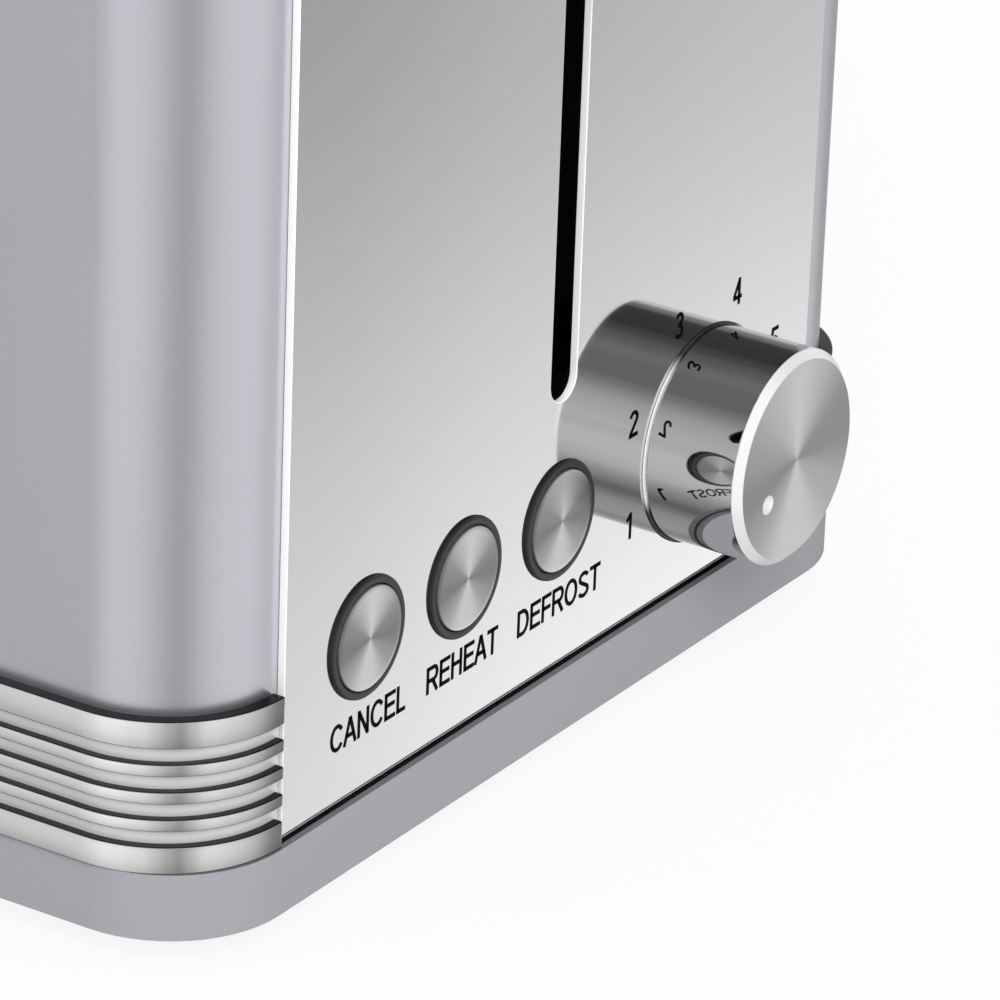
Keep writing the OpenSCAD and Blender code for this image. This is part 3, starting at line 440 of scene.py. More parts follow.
def addPlate(bm, loops, profiles, place):
    # a sheet with holes: each loop has its own edge profile, and the flat faces are filled between them
    caps = ([], [])
    for index, (loop, profile) in enumerate(zip(loops, profiles)):
        if (areaOf(loop) > 0) == (index > 0):
            loop = loop[::-1]  # the material lies to the left of every loop
        normals = sideSteps(loop, True, 0.5)
        rings = []
        for inset, height in profile:
            flat = [Vector((p[0] + n.x * inset, p[1] + n.y * inset, 0)) for p, n in zip(loop, normals)]
            rings.append(([bm.verts.new(place @ Vector((*point.xy, height))) for point in flat], flat))
        for (lower, _), (upper, _) in zip(rings, rings[1:]):
            for k in range(len(loop)):
                after = (k + 1) % len(loop)
                bm.faces.new((lower[k], lower[after], upper[after], upper[k]))
        for cap, ring in zip(caps, (rings[0], rings[-1])):
            cap.append(ring)
    for cap in caps:
        verts = [vert for ring, flat in cap for vert in ring]
        for triangle in tessellate_polygon([flat for ring, flat in cap]):
            bm.faces.new([verts[k] for k in triangle])


def addTurned(bm, profile, centre, sides, closed=False):
    # (radius, y) pairs turned round an axis along Y; a radius of 0 is a pole
    rings = []
    for radius, y in profile:
        ring = arcPoints(*centre, radius, 0, 360, sides)[:-1] if radius > 1e-7 else [centre]
        rings.append([bm.verts.new((x, y, z)) for x, z in ring])
    for first, second in list(zip(rings, rings[1:])) + ([(rings[-1], rings[0])] if closed else []):
        for k in range(sides):
            places = ((first, k), (first, (k + 1) % sides), (second, (k + 1) % sides), (second, k))
            corners = [ring[place % len(ring)] for ring, place in places]
            bm.faces.new([corner for k, corner in enumerate(corners) if corner not in corners[:k]])


def addBlock(bm, low, high, bevel=0.0):
    # a box between two corners, with its edges softened
    made = bmesh.ops.create_cube(bm, size=1.0)["verts"]
    low, high = Vector(low), Vector(high)
    bmesh.ops.scale(bm, vec=high - low, verts=made)
    bmesh.ops.translate(bm, vec=(high + low) / 2, verts=made)
    if bevel:
        edges = list({edge for vert in made for edge in vert.link_edges})
        bmesh.ops.bevel(bm, geom=edges, offset=bevel, segments=3, profile=0.5, affect="EDGES")


def polarMap(mesh, centre, reach):
    # U goes round the axis and V from the axis outwards
    layer = mesh.uv_layers.new(name="polar")
    for face in mesh.polygons:
        turns = []
        for k in face.loop_indices:
            point = mesh.vertices[mesh.loops[k].vertex_index].co
            across, up = point.x - centre[0], point.z - centre[1]
            turns.append((k, math.atan2(up, across) / (2 * math.pi) % 1.0, math.hypot(across, up)))
        rim = [turn for k, turn, radius in turns if radius > 1e-7]
        wraps = max(rim) - min(rim) > 0.5
        rim = [turn + 1 if wraps and turn < 0.5 else turn for turn in rim]
        for k, turn, radius in turns:
            if radius <= 1e-7:
                turn = sum(rim) / len(rim)
            elif wraps and turn < 0.5:
                turn += 1
            layer.data[k].uv = (turn, radius / reach)


def meshFrom(bm, recalc=True):
    if recalc:
        bmesh.ops.remove_doubles(bm, verts=bm.verts, dist=1e-7)
        bmesh.ops.recalc_face_normals(bm, faces=bm.faces)
    mesh = bpy.data.meshes.new("shape")
    bm.to_mesh(mesh)
    bm.free()
    return mesh


def plateMesh(loops, profiles, place):
    bm = bmesh.new()
    addPlate(bm, loops, profiles, place)
    return meshFrom(bm)


def turnedMesh(profile, centre, sides, closed=False):
    bm = bmesh.new()
    addTurned(bm, profile, centre, sides, closed)
    return meshFrom(bm)


def withModifier(mesh, kind, settings, inputs=None):
    # a mesh after one modifier, as a plain mesh; the helper object goes
    helper = addObject("helper", mesh)
    modifier = helper.modifiers.new("change", kind)
    for key, value in settings.items():
        setattr(modifier, key, value)
    for key, value in (inputs or {}).items():
        modifier[key] = value
    bpy.context.view_layer.update()
    result = bpy.data.meshes.new_from_object(helper.evaluated_get(bpy.context.evaluated_depsgraph_get()))
    bpy.data.objects.remove(helper)
    return result


def cutAway(mesh, cutterMesh, **settings):
    # the first solid without the second
    cutter = addObject("cutter", cutterMesh)
    result = withModifier(mesh, "BOOLEAN", {"operation": "DIFFERENCE", "object": cutter, "solver": "EXACT",
                                            **settings})
    bpy.data.objects.remove(cutter)
    return result


def smoothMesh(mesh, angle):
    # smooth shading that stops at sharp edges, with wide faces kept flat beside narrow rounded ones
    mesh.shade_smooth()
    mesh.set_sharp_from_angle(angle=math.radians(angle))
    return withModifier(mesh, "WEIGHTED_NORMAL", {"mode": "FACE_AREA", "weight": 100, "keep_sharp": True})


flatNormal = 0.98  # a face whose normal points this nearly along Y is a flat one


def splitFinish(mesh, first, second, isSecond):
    # one finish for most faces and a second for the others
    for finish in (first, second):
        mesh.materials.append(materials[finish])
    for face in mesh.polygons:
        face.material_index = int(isSecond(face))


def addPiece(mesh, name, body, slot, *replaced, finish=None, angle=35):
    if finish:
        mesh.materials.clear()
        mesh.materials.append(materials[finish])
    piece = addObject(name, smoothMesh(mesh, angle))
    piece.data.name = name
    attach(piece, body)
    if replaced:
        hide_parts(*replaced)


def upright(y, facing):
    # a plate drawn in X and Z, whose height grows away from y: -1 faces the front and +1 the rear
    return Matrix(((1, 0, 0, 0), (0, 0, facing, y), (0, 1, 0, 0), (0, 0, 0, 1)))


level = Matrix.Identity(4)


shellSizes = {"corner": 17.0, "shoulder": 35.0, "sheet": 1.0, "flange": 26.4, "openingWidth": 90.0,
              "openingLength": 198.0, "spare": 0.8}  # the spare keeps the flat walls flat beside the curves


def makeShell(sizes):
    # the plan of the wall (depth from its outer face, y) runs up the side, round the shoulder and over the top
    low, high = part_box("body_shell")
    corner, shoulder, flange, spare = metres(sizes, "corner shoulder flange spare")
    openX, openY = sizes["openingWidth"] / 2 * mm, sizes["openingLength"] / 2 * mm
    front = [(flange, low.y), (corner + spare, low.y)]
    front += arcPoints(corner, low.y + corner, corner, -90, -180, 30) + [(0, low.y + corner + spare)]
    middle = (low.y + high.y) / 2
    section = front + [(0, middle - openY), (0, middle + openY)]
    section += [(depth, low.y + high.y - y) for depth, y in reversed(front)]
    # each step of the path: where it starts, its outward direction, and how far out the face lies
    path = [(low.x, low.z, -1, 0, 0), (low.x, high.z - shoulder - spare, -1, 0, 0)]
    path += [(low.x + shoulder, high.z - shoulder, nx, nz, shoulder) for nx, nz in arcPoints(0, 0, 1, 180, 90, 30)]
    path += [(low.x + shoulder + spare, high.z, 0, 1, 0), (-openX, high.z, 0, 1, 0)]
    path += [(-x, z, -nx, nz, reach) for x, z, nx, nz, reach in reversed(path)]
    bm = bmesh.new()
    rows = [[bm.verts.new((x + nx * (reach - depth), y, z + nz * (reach - depth))) for depth, y in section]
            for x, z, nx, nz, reach in path]
    opening = (len(path) // 2 - 1, len(front))  # the row and the stretch of the section that stay open
    for row, (first, second) in enumerate(zip(rows, rows[1:])):
        for k in range(len(section) - 1):
            if (row, k) != opening:
                bm.faces.new((first[k], first[k + 1], second[k + 1], second[k]))
    mesh = meshFrom(bm)
    if sum(face.normal.x * face.center.x for face in mesh.polygons) < 0:
        mesh.flip_normals()
    solid = withModifier(mesh, "SOLIDIFY", {"thickness": sizes["sheet"] * mm, "offset": -1,
                                            "use_even_offset": True})
    addPiece(solid, "paintedShell", "housing", "shell_paint", "body_shell", finish="shellPaint", angle=30)


panelSizes = {"topRadius": 16.6, "edge": 0.14, "foot": 0.15, "slotWidth": 6.6, "slotLow": 55.0, "slotHigh": 157.0,
              "bushHole": 4.6, "ventCount": 9, "ventPitch": 8.0, "ventWidth": 3.0, "ventHeight": 30.0,
              "ventDrop": 74.0, "glandHole": 6.6}
buttonSizes = {"capRadius": 7.5, "capEdge": 0.18, "collarRadius": 8.8, "collarLip": 0.3, "collarBack": 10.0,
               "fit": 0.05, "plate": 2.5, "plateCorner": 1.0, "plateEdge": 0.3, "post": 3.0, "postInset": 4.5,
               "postSunk": 1.0}
capBoxes = {name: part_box(name + "_cap") for name in ("cancel", "reheat", "defrost")}
capCentres = {name: centreOf(name + "_cap") for name in capBoxes}
dialLow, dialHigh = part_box("dial_knob")
dialCentre = centreOf("dial_knob")


def addPanel(name, node, loops, profiles, place):
    # the panel's flat faces take one finish, its cut edges a white one that is a painted reflection
    mesh = plateMesh(loops, profiles, place)
    splitFinish(mesh, "panelSteel", "panelEdge", lambda face: abs(face.normal.y) <= flatNormal)
    addPiece(mesh, name, "housing", "polished_panel", node)


def makeFrontPanel(sizes):
    low, high = panelLow, panelHigh
    half = sizes["slotWidth"] / 2 * mm
    loops = [archedRect(low.x, high.x, low.z - sizes["foot"] * mm, high.z, sizes["topRadius"] * mm),
             roundedRect(-half, half, sizes["slotLow"] * mm, sizes["slotHigh"] * mm, half, 24)]
    collarHole = sum(metres(buttonSizes, "collarRadius fit"))
    holes = [circleLoop(*centre, collarHole) for centre in capCentres.values()]
    holes.append(circleLoop(*dialCentre, sizes["bushHole"] * mm))
    thick = high.y - low.y
    profiles = [roundedEdge(0, thick, sizes["edge"] * mm)] * len(loops) + [[(0, 0), (0, thick)]] * len(holes)
    addPanel("frontPanel", "front_panel", loops + holes, profiles, upright(high.y, -1))


def makeRearPanel(sizes):
    low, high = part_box("rear_panel")
    loops = [archedRect(low.x, high.x, low.z, high.z, sizes["topRadius"] * mm)]
    half = sizes["ventWidth"] / 2 * mm
    foot = high.z - sizes["ventDrop"] * mm
    for k in range(sizes["ventCount"]):
        x = (k - (sizes["ventCount"] - 1) / 2) * sizes["ventPitch"] * mm
        loops.append(roundedRect(x - half, x + half, foot, foot + sizes["ventHeight"] * mm, half, 10))
    loops.append(circleLoop(*centreOf("cord_gland"), sizes["glandHole"] * mm))
    edge = roundedEdge(0, high.y - low.y, sizes["edge"] * mm)
    addPanel("rearPanel", "rear_panel", loops, [edge] * len(loops), upright(low.y, 1))


topSizes = {"corner": 12.0, "edge": 0.45, "thick": 1.2, "slotCorner": 4.0, "slotWidth": 33.0, "slotPitch": 54.0,
            "slotInset": 44.0, "slotLength": 140.0, "lip": 0.8, "lipSoft": 0.25, "lipFoot": 0.3, "roll": 1.6}


def makeTopPlate(sizes):
    low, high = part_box("top_plate")
    roll, lip, soft, foot, thick = metres(sizes, "roll lip lipSoft lipFoot thick")
    under = high.z - thick
    outer = roundedRect(low.x, high.x, low.y, high.y, sizes["corner"] * mm, 20)
    # the rolled rim of a slot: along the underside, down outside the lip, round its foot and up to the top face
    rim = [(lip, under), (lip, low.z + foot), (lip - soft, low.z), (soft, low.z), (0, low.z + foot)]
    rim += arcPoints(roll, high.z - roll, roll, 180, 90, 6)
    wide, pitch, inset, length, corner = metres(sizes, "slotWidth slotPitch slotInset slotLength slotCorner")
    slots = [roundedRect(x - wide / 2, x + wide / 2, low.y + inset, low.y + inset + length, corner, 10)
             for x in (-pitch / 2, pitch / 2)]
    mesh = plateMesh([outer] + slots, [roundedEdge(under, high.z, sizes["edge"] * mm), rim, rim], level)
    addPiece(mesh, "topPlate", "housing", "polished_panel", "top_plate", finish="panelSteel")


makeShell(shellSizes)
makeFrontPanel(panelSizes)
makeRearPanel(panelSizes)
makeTopPlate(topSizes)
print("shell, panels and top plate made")


def makeControls(sizes):
    # black housing plate with the three collars and the board's posts
    low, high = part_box("control_housing")
    collar, lip, thick, post, inset = metres(sizes, "collarRadius collarLip plate post postInset")
    plateBack, bore = panelHigh.y + thick, sum(metres(sizes, "capRadius fit"))
    bm = bmesh.new()
    outer = roundedRect(low.x, high.x, low.z, high.z, sizes["plateCorner"] * mm, 4)
    holes = [circleLoop(*centre, collar) for centre in capCentres.values()]
    holes.append(circleLoop(*dialCentre, panelSizes["bushHole"] * mm))
    profiles = [roundedEdge(0, thick, sizes["plateEdge"] * mm)] + [[(0, 0), (0, thick)]] * len(holes)
    addPlate(bm, [outer] + holes, profiles, upright(plateBack, -1))
    profile = [(radius, faceY + sizes["collarBack"] * mm) for radius in (bore, collar)]
    profile += arcPoints(collar - lip, low.y + lip, lip, 0, -90, 4)
    profile += arcPoints(bore + lip, low.y + lip, lip, -90, -180, 4)
    for centre in capCentres.values():
        addTurned(bm, profile, centre, 96, closed=True)
    foot = plateBack - sizes["postSunk"] * mm
    for x in (inset - high.x, high.x - inset):
        for z in (low.z + inset, high.z - inset):
            addTurned(bm, [(0, foot), (post, foot), (post, high.y), (0, high.y)], (x, z), 32)
    addPiece(meshFrom(bm), "controlHousing", "housing", "black_plastic", "control_housing",
             finish="blackPlastic", angle=40)


def makeCap(name, sizes):
    low, high = capBoxes[name]
    radius, edge = metres(sizes, "capRadius capEdge")
    profile = [(0, high.y), (radius, high.y)] + arcPoints(radius - edge, low.y + edge, edge, 0, -90, 4)
    profile += [(radius * share, low.y) for share in (0.9, 0.7, 0.5, 0.3, 0.15, 0.05, 0)]
    mesh = turnedMesh(profile, capCentres[name], 128)
    polarMap(mesh, capCentres[name], radius)
    # the cap's rounded rim takes a dark finish, a painted shade
    splitFinish(mesh, "spunCap", "capRim", lambda face: face.normal.y >= -flatNormal)
    addPiece(mesh, name + "Cap", name + "_button", "spun_metal", name + "_cap")


dialSizes = {"radius": 16.0, "chamfer": 1.2, "wall": 1.8, "disc": 0.5, "discEdge": 0.02, "soft": 0.12,
             "floor": 3.0, "skirt": 1.0, "dimple": 1.45, "dimpleAt": 8.8, "dimpleTurn": 211.0, "ball": 2.5,
             "ringTrim": 0.1, "ringDepth": 0.75, "cutNormal": 0.3}


def makeDialShell(sizes):
    front, back = dialLow.y, dialHigh.y
    radius, chamfer, wall, disc, soft = metres(sizes, "radius chamfer wall disc soft")
    rim, bore, under = radius - chamfer, radius - wall, front + disc + sizes["floor"] * mm
    profile = [(0, under), (bore, under), (bore, back - soft), (bore + soft, back), (radius - soft, back),
               (radius, back - soft), (radius, back - sizes["skirt"] * mm), (radius, front + chamfer + soft),
               (radius - soft * 0.3, front + chamfer - soft * 0.5), (rim + soft * 0.5, front + soft * 0.4),
               (rim, front + soft * 0.1), (rim - soft * 0.4, front + soft * 0.4), (rim - soft, front + disc),
               (0, front + disc)]
    mesh = turnedMesh(profile, dialCentre, 160)
    # the chamfer round the face takes a white finish, a painted highlight
    splitFinish(mesh, "chrome", "cutRim", lambda face: sizes["cutNormal"] < -face.normal.y < flatNormal
                and face.center.y < front + chamfer + soft)
    addPiece(mesh, "dialShell", "dial", "chrome", "dial_knob", angle=25)


def makeDialDisc(sizes):
    # the spun disc, with a ball's dimple that marks where it points
    face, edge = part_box("dial_face")[0].y, sizes["discEdge"] * mm
    soft, ball, dimple, dimpleAt = metres(sizes, "soft ball dimple dimpleAt")
    back = dialLow.y + sizes["disc"] * mm
    reach = (sizes["radius"] - sizes["chamfer"]) * mm - soft * 0.15
    profile = [(0, back), (reach - soft, back), (reach, face + edge), (reach - edge, face)]
    profile += [(reach * share, face) for share in (0.96, 0.9, 0.75, 0.6, 0.45, 0.3, 0.15, 0.05, 0)]
    mesh = turnedMesh(profile, dialCentre, 160)
    polarMap(mesh, dialCentre, reach)
    mesh.materials.append(materials["spunDisc"])
    bm = bmesh.new()
    bmesh.ops.create_uvsphere(bm, u_segments=96, v_segments=64, radius=ball)
    x, z = pointAt(*dialCentre, dimpleAt, sizes["dimpleTurn"])
    bmesh.ops.translate(bm, vec=(x, face - math.sqrt(ball ** 2 - dimple ** 2), z), verts=bm.verts)
    cutter = meshFrom(bm, recalc=False)
    cutter.materials.append(materials["ringRim"])
    mesh = cutAway(mesh, cutter, material_mode="TRANSFER")
    addPiece(mesh, "dialDisc", "dial", "spun_metal", "dial_face", angle=20)


def makeDialRing(sizes):
    low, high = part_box("dial_ring")
    inner, outer = (sizes["radius"] - sizes["wall"]) * mm, high.x - dialCentre[0] - sizes["ringTrim"] * mm
    front = high.y - sizes["ringDepth"] * (high.y - low.y)
    half = (high.y - front) / 2
    profile = [(inner, high.y), *arcPoints(outer - half, front + half, half, 90, -90, 8), (inner, front)]
    mesh = turnedMesh(profile, dialCentre, 160, closed=True)
    addPiece(mesh, "dialRing", "housing", "chrome", "dial_ring", finish="shadedRing", angle=40)


knobSizes = {"edge": 1.4, "flatEnd": 0.01}


def makeLeverKnob(sizes):
    low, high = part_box("lever_knob")
    outline = roundedRect(low.x, high.x, low.z, high.z, (high.z - low.z) / 2 - sizes["flatEnd"] * mm, 24)
    edge = roundedEdge(0, high.y - low.y, sizes["edge"] * mm, 6)
    mesh = plateMesh([outline], [edge], upright(high.y, -1))
    addPiece(mesh, "leverKnob", "carriage", "chrome", "lever_knob", finish="chrome")


makeControls(buttonSizes)
for buttonName in capBoxes:
    makeCap(buttonName, buttonSizes)
makeDialShell(dialSizes)
makeDialDisc(dialSizes)
makeDialRing(dialSizes)
makeLeverKnob(knobSizes)
print("buttons, dial and lever knob made")


def newTree(name, inputs):
    # a geometry tree with named inputs and a material; gives the tree, its inputs and their identifiers by name
    tree = bpy.data.node_groups.new(name, "GeometryNodeTree")
    tree.interface.new_socket("Geometry", in_out="OUTPUT", socket_type="NodeSocketGeometry")
    identifiers = {}
    for label, kind in {"Geometry": "Geometry", **inputs, "Material": "Material"}.items():
        socket = tree.interface.new_socket(label, in_out="INPUT", socket_type="NodeSocket" + kind)
        identifiers[label] = socket.identifier
    return tree, tree.nodes.new("NodeGroupInput").outputs, identifiers


def endTree(tree, given, geometry):
    realized = nodeOut(tree, "GeometryNodeRealizeInstances", [("Geometry", geometry)])
    finished = nodeOut(tree, "GeometryNodeSetMaterial", [("Geometry", realized), ("Material", given["Material"])])
    addNode(tree, "NodeGroupOutput", [("Geometry", finished)])


def copiesOn(tree, points, part, links=()):
    return nodeOut(tree, "GeometryNodeInstanceOnPoints", [("Points", points), ("Instance", part), *links])


def rowOf(tree, count, first, offset):
    # points in a straight row
    links = [("Count", count), ("Start Location", first), ("Offset", offset)]
    return nodeOut(tree, "GeometryNodeMeshLine", links, mode="OFFSET")


def sweep(tree, curve, profile):
    links = [("Curve", curve), ("Profile Curve", profile), ("Fill Caps", True)]
    return nodeOut(tree, "GeometryNodeCurveToMesh", links)


def runTree(tree, identifiers, verts, edges, values):
    # the tree's result on a mesh of points and edges, as a plain mesh
    mesh = bpy.data.meshes.new("points")
    mesh.from_pydata(verts, edges, [])
    inputs = {identifiers[label]: value for label, value in values.items()}
    return withModifier(mesh, "NODES", {"node_group": tree}, inputs)


def sweptBar(tree, curve, offset, width, height, edge):
    # a bar with softened edges along a level path, moved outwards by offset
    tangent = nodeOut(tree, "GeometryNodeInputTangent")
    outward = nodeOut(tree, "ShaderNodeVectorMath", [(0, (0, 0, 1)), (1, tangent)], operation="CROSS_PRODUCT")
    step = nodeOut(tree, "ShaderNodeVectorMath", [(0, outward), ("Scale", offset)], operation="SCALE")
    moved = nodeOut(tree, "GeometryNodeSetPosition", [("Geometry", curve), ("Offset", step)])
    turned = nodeOut(tree, "GeometryNodeSetCurveNormal", [("Curve", moved)], mode="Z_UP")
    box = nodeOut(tree, "GeometryNodeCurvePrimitiveQuadrilateral", [("Width", width), ("Height", height)])
    soft = nodeOut(tree, "GeometryNodeFilletCurve", [("Curve", box), ("Count", 3), ("Radius", edge)], mode="POLY")
    return sweep(tree, turned, soft)


def makeRibTree():
    # bars along a path, one above the other
    inputs = dict.fromkeys(("Offset", "Depth", "Height", "First", "Pitch", "Edge"), "Float")
    tree, given, identifiers = newTree("ribsOnPath", {**inputs, "Count": "Int"})
    path = nodeOut(tree, "GeometryNodeMeshToCurve", [("Mesh", given["Geometry"])])
    rib = sweptBar(tree, path, given["Offset"], given["Depth"], given["Height"], given["Edge"])
    rows = rowOf(tree, given["Count"], vectorOf(tree, Z=given["First"]), vectorOf(tree, Z=given["Pitch"]))
    endTree(tree, given, copiesOn(tree, rows, rib))
    return tree, identifiers


def beltPath(low, high, sizes, side, short):
    # the shell's outline in plan, from one end of the belt round both corners to the other
    proud, corner = metres(sizes, "proud corner")
    shellSide, front, rear = low.x + proud, low.y + proud, high.y - proud
    path = [(high.x - short, front)] + arcPoints(shellSide + corner, front + corner, corner, -90, -180, 36)
    path += [(shellSide, front + corner + mm)]
    path += [(x, front + rear - y) for x, y in reversed(path)]
    return path if side < 0 else [(-x, y) for x, y in reversed(path)]


def makeBelt(name, node, side, ribTree, sizes):
    low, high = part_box("belt_left")
    proud, back, gap, groove, sink = metres(sizes, "proud back gap groove sink")
    rib, endRib = metres(sizes, "ribHeight endRibHeight")
    height = high.z - low.z

    def bar(near, far, tall, first, pitch, count, edge="edge"):
        return {"Offset": (far + near) / 2, "Depth": far - near, "Height": tall, "First": low.z + first,
                "Pitch": pitch, "Count": count, "Edge": sizes[edge] * mm}

    parts = {"Ribs": bar(back - sink, proud, rib, endRib + groove + rib / 2, rib + groove, sizes["ribs"]),
             "EndRibs": bar(gap, proud, endRib, endRib / 2, height - endRib, 2),
             "Back": bar(gap, back, height - sizes["backInset"] * 2 * mm, height / 2, 0.0, 1, "backEdge")}
    for part, values in parts.items():
        # the belt's back takes a lighter satin finish, painted light in its grooves
        finish, short = ("beltGroove", sizes["backShort"] * mm) if part == "Back" else ("beltChrome", 0.0)
        path = [(x, y, 0) for x, y in beltPath(low, high, sizes, side, short)]
        mesh = runTree(*ribTree, path, [(k, k + 1) for k in range(len(path) - 1)],
                       {"Material": materials[finish], **values})
        addPiece(mesh, name + part, "housing", "belt_chrome", *([node] if part == "EndRibs" else []))


ribTree = makeRibTree()
makeBelt("leftBelt", "belt_left", -1, ribTree, beltSizes)
makeBelt("rightBelt", "belt_right", 1, ribTree, beltSizes)
print("belts made")


labelSizes = {"height": 4.1, "baseline": 22.28, "thick": 0.06, "stroke": 0.61, "sunk": 0.3, "numberRadius": 20.8,
              "numberHeight": 4.1, "numberWidth": 2.3, "firstTurn": 202.5, "turnStep": -45,
              "words": (("CANCEL", -55.8, -37.7), ("REHEAT", -32.5, -14.7), ("DEFROST", -9.7, 11.8))}
# room before, width and room after each letter, in letter heights
letterRoom = {"C": (0.05, 0.86, 0.04), "A": (0.0, 0.92, 0.0), "N": (0.06, 0.78, 0.07), "E": (0.07, 0.75, 0.03),
              "L": (0.06, 0.61, 0.03), "R": (0.07, 0.88, 0.01), "H": (0.07, 0.78, 0.07), "T": (0.02, 0.79, 0.02),
              "D": (0.07, 0.84, 0.04), "F": (0.07, 0.69, 0.02), "O": (0.04, 0.94, 0.04), "S": (0.04, 0.80, 0.04)}


def letterStrokes(sign, w, h, t):
    # centre lines of a plain sans letter or number w wide and h high drawn with a pen t wide; True closes a line
    e = t / 2
    low, top, left, right, half = e, h - e, e, w - e, w / 2
    rx = half - e
    reach = (w - t) / 1.82  # the open C is part of a wider ring

    def arc(u, v, ru, rv, start, end, steps=14):
        return [(u + ru * x, v + rv * y) for x, y in arcPoints(0, 0, 1, start, end, steps)]

    def line(*points, closed=False):
        return list(points), closed

    def bar(height, start=0, end=w):
        return line((start, height), (end, height))

    def stem(u):
        return line((u, 0), (u, h))

    return {
        "A": [line((e * 0.9, 0), (half, h)), line((w - e * 0.9, 0), (half, h)), bar(h * 0.34, w * 0.2, w * 0.8)],
        "C": [line(*arc(left + reach, h / 2, reach, h / 2 - e, 35, 325, 30))],
        "D": [line((left, low), *arc(w * 0.42, h / 2, w * 0.58 - e, h / 2 - e, -90, 90, 20), (left, top),
                   closed=True)],
        "E": [stem(left), bar(low), bar(h * 0.53, 0, w * 0.93), bar(top)],
        "F": [stem(left), bar(h * 0.49, 0, w * 0.93), bar(top)],
        "H": [stem(left), stem(right), bar(h * 0.53)],
        "L": [stem(left), bar(low)],
        "N": [stem(left), stem(right), line((left, h - e * 0.6), (right, e * 0.6))],
        "O": [line(*arc(half, h / 2, rx, h / 2 - e, 0, 360, 36)[:-1], closed=True)],
        "R": [stem(left), line((left, h * 0.47), *arc(w * 0.60, h * 0.735 - e / 2, w * 0.36 - e,
                                                      h * 0.265 - e / 2, -90, 90), (left, top)),
              line((w * 0.52, h * 0.47), (w - e * 1.1, 0))],
        "S": [line(*arc(half, h * 0.74, rx * 0.93, h * 0.26 - e, 18, 232, 20),
                   *arc(half, h * 0.265, rx, h * 0.265 - e, 52, -162, 20))],
        "T": [stem(half), bar(top)],
        "1": [stem(w * 0.62), line((w * 0.18, h * 0.74), (w * 0.60, h - e))],
        "2": [line(*arc(half, h * 0.72, rx, h * 0.28 - e, 172, -38, 20), (left, low + e * 0.6)), bar(low)],
        "3": [line(*arc(half, h * 0.745, rx * 0.9, h * 0.255 - e, 160, -80, 18)),
              line(*arc(half, h * 0.275, rx, h * 0.275 - e, 80, -160, 18)), bar(h * 0.53, w * 0.38, w * 0.56)],
        "4": [stem(w * 0.68), line((w * 0.68, h - e), (e * 0.6, h * 0.32)), bar(h * 0.28)],
        "5": [line((w * 0.94, top), (w * 0.26, top), (w * 0.15, h * 0.47)),
              line(*arc(half, h * 0.33, rx, h * 0.33 - e, 130, -158, 22))],
        "6": [line(*arc(half, h * 0.33, rx, h * 0.33 - e, 0, 360, 30)[:-1], closed=True),
              line(*arc(w * 0.53, h * 0.56, w * 0.53 - e, h * 0.44 - e, 28, 205, 20))]}[sign]


def penLoops(points, pen, closed):
    # the outline of a pen line: one loop for an open line, an outer and an inner one for a closed line
    steps = sideSteps(points, closed, 0.6)
    sides = [[(u + step.x * reach, v + step.y * reach) for (u, v), step in zip(points, steps)]
             for reach in (pen / 2, -pen / 2)]
    if closed:
        return sorted(sides, key=lambda loop: -abs(areaOf(loop)))
    return [sides[0] + sides[1][::-1]]


def writeSign(bm, sign, left, base, wide, tall, sizes):
    thick, pen = metres(sizes, "thick stroke")
    for points, closed in letterStrokes(sign, wide, tall, pen):
        loops = penLoops([(left + u, base + v) for u, v in points], pen, closed)
        addPlate(bm, loops, [[(0, 0), (0, thick)]] * len(loops), upright(faceY + thick * sizes["sunk"], -1))


def writeWord(text, left, right, sizes):
    rooms = [letterRoom[sign] for sign in text]
    full = sum(sum(room) for room in rooms) - rooms[0][0] - rooms[-1][2]
    unit = (right - left) / full
    at = left - rooms[0][0] * unit
    bm = bmesh.new()
    for sign, (before, wide, after) in zip(text, rooms):
        writeSign(bm, sign, at + before * unit, sizes["baseline"] * mm, wide * unit, sizes["height"] * mm, sizes)
        at += (before + wide + after) * unit
    addPiece(meshFrom(bm), text.lower() + "Label", "housing", "black_plastic", finish="ink", angle=30)


def makeLabels(sizes):
    for text, left, right in sizes["words"]:
        writeWord(text, left * mm, right * mm, sizes)
    tall, wide = metres(sizes, "numberHeight numberWidth")
    bm = bmesh.new()
    for k in range(6):
        x, z = pointAt(*dialCentre, sizes["numberRadius"] * mm, sizes["firstTurn"] + sizes["turnStep"] * k)
        writeSign(bm, str(k + 1), x - wide / 2, z - tall / 2, wide, tall, sizes)
    addPiece(meshFrom(bm), "dialNumbers", "housing", "black_plastic", finish="ink", angle=30)


makeLabels(labelSizes)
print("labels made")


def makeWireTree():
    # a wire rack: two rails along Y and upright wires between them, on a single point
    inputs = dict.fromkeys(("Length", "Height", "Rail Radius", "Wire Radius", "First Wire", "Wire Pitch"), "Float")
    tree, given, identifiers = newTree("wireGuide", {**inputs, "Wires": "Int"})

    def wireTo(end, radius, sides):
        line = nodeOut(tree, "GeometryNodeCurvePrimitiveLine", [("Start", origin), ("End", end)])
        ring = nodeOut(tree, "GeometryNodeCurvePrimitiveCircle", [("Resolution", sides), ("Radius", radius)])
        return sweep(tree, line, ring)

    origin, top = vectorOf(tree), vectorOf(tree, Z=given["Height"])
    rail = wireTo(vectorOf(tree, Y=given["Length"]), given["Rail Radius"], 20)
    wire = wireTo(top, given["Wire Radius"], 12)
    rails = rowOf(tree, 2, origin, top)
    first, pitch = (vectorOf(tree, Y=given[label]) for label in ("First Wire", "Wire Pitch"))
    wires = rowOf(tree, given["Wires"], first, pitch)
    join = tree.nodes.new("GeometryNodeJoinGeometry")
    for points, part in ((rails, rail), (wires, wire)):
        tree.links.new(copiesOn(tree, points, part), join.inputs[0])
    endTree(tree, given, copiesOn(tree, given["Geometry"], join.outputs[0]))
    return tree, identifiers


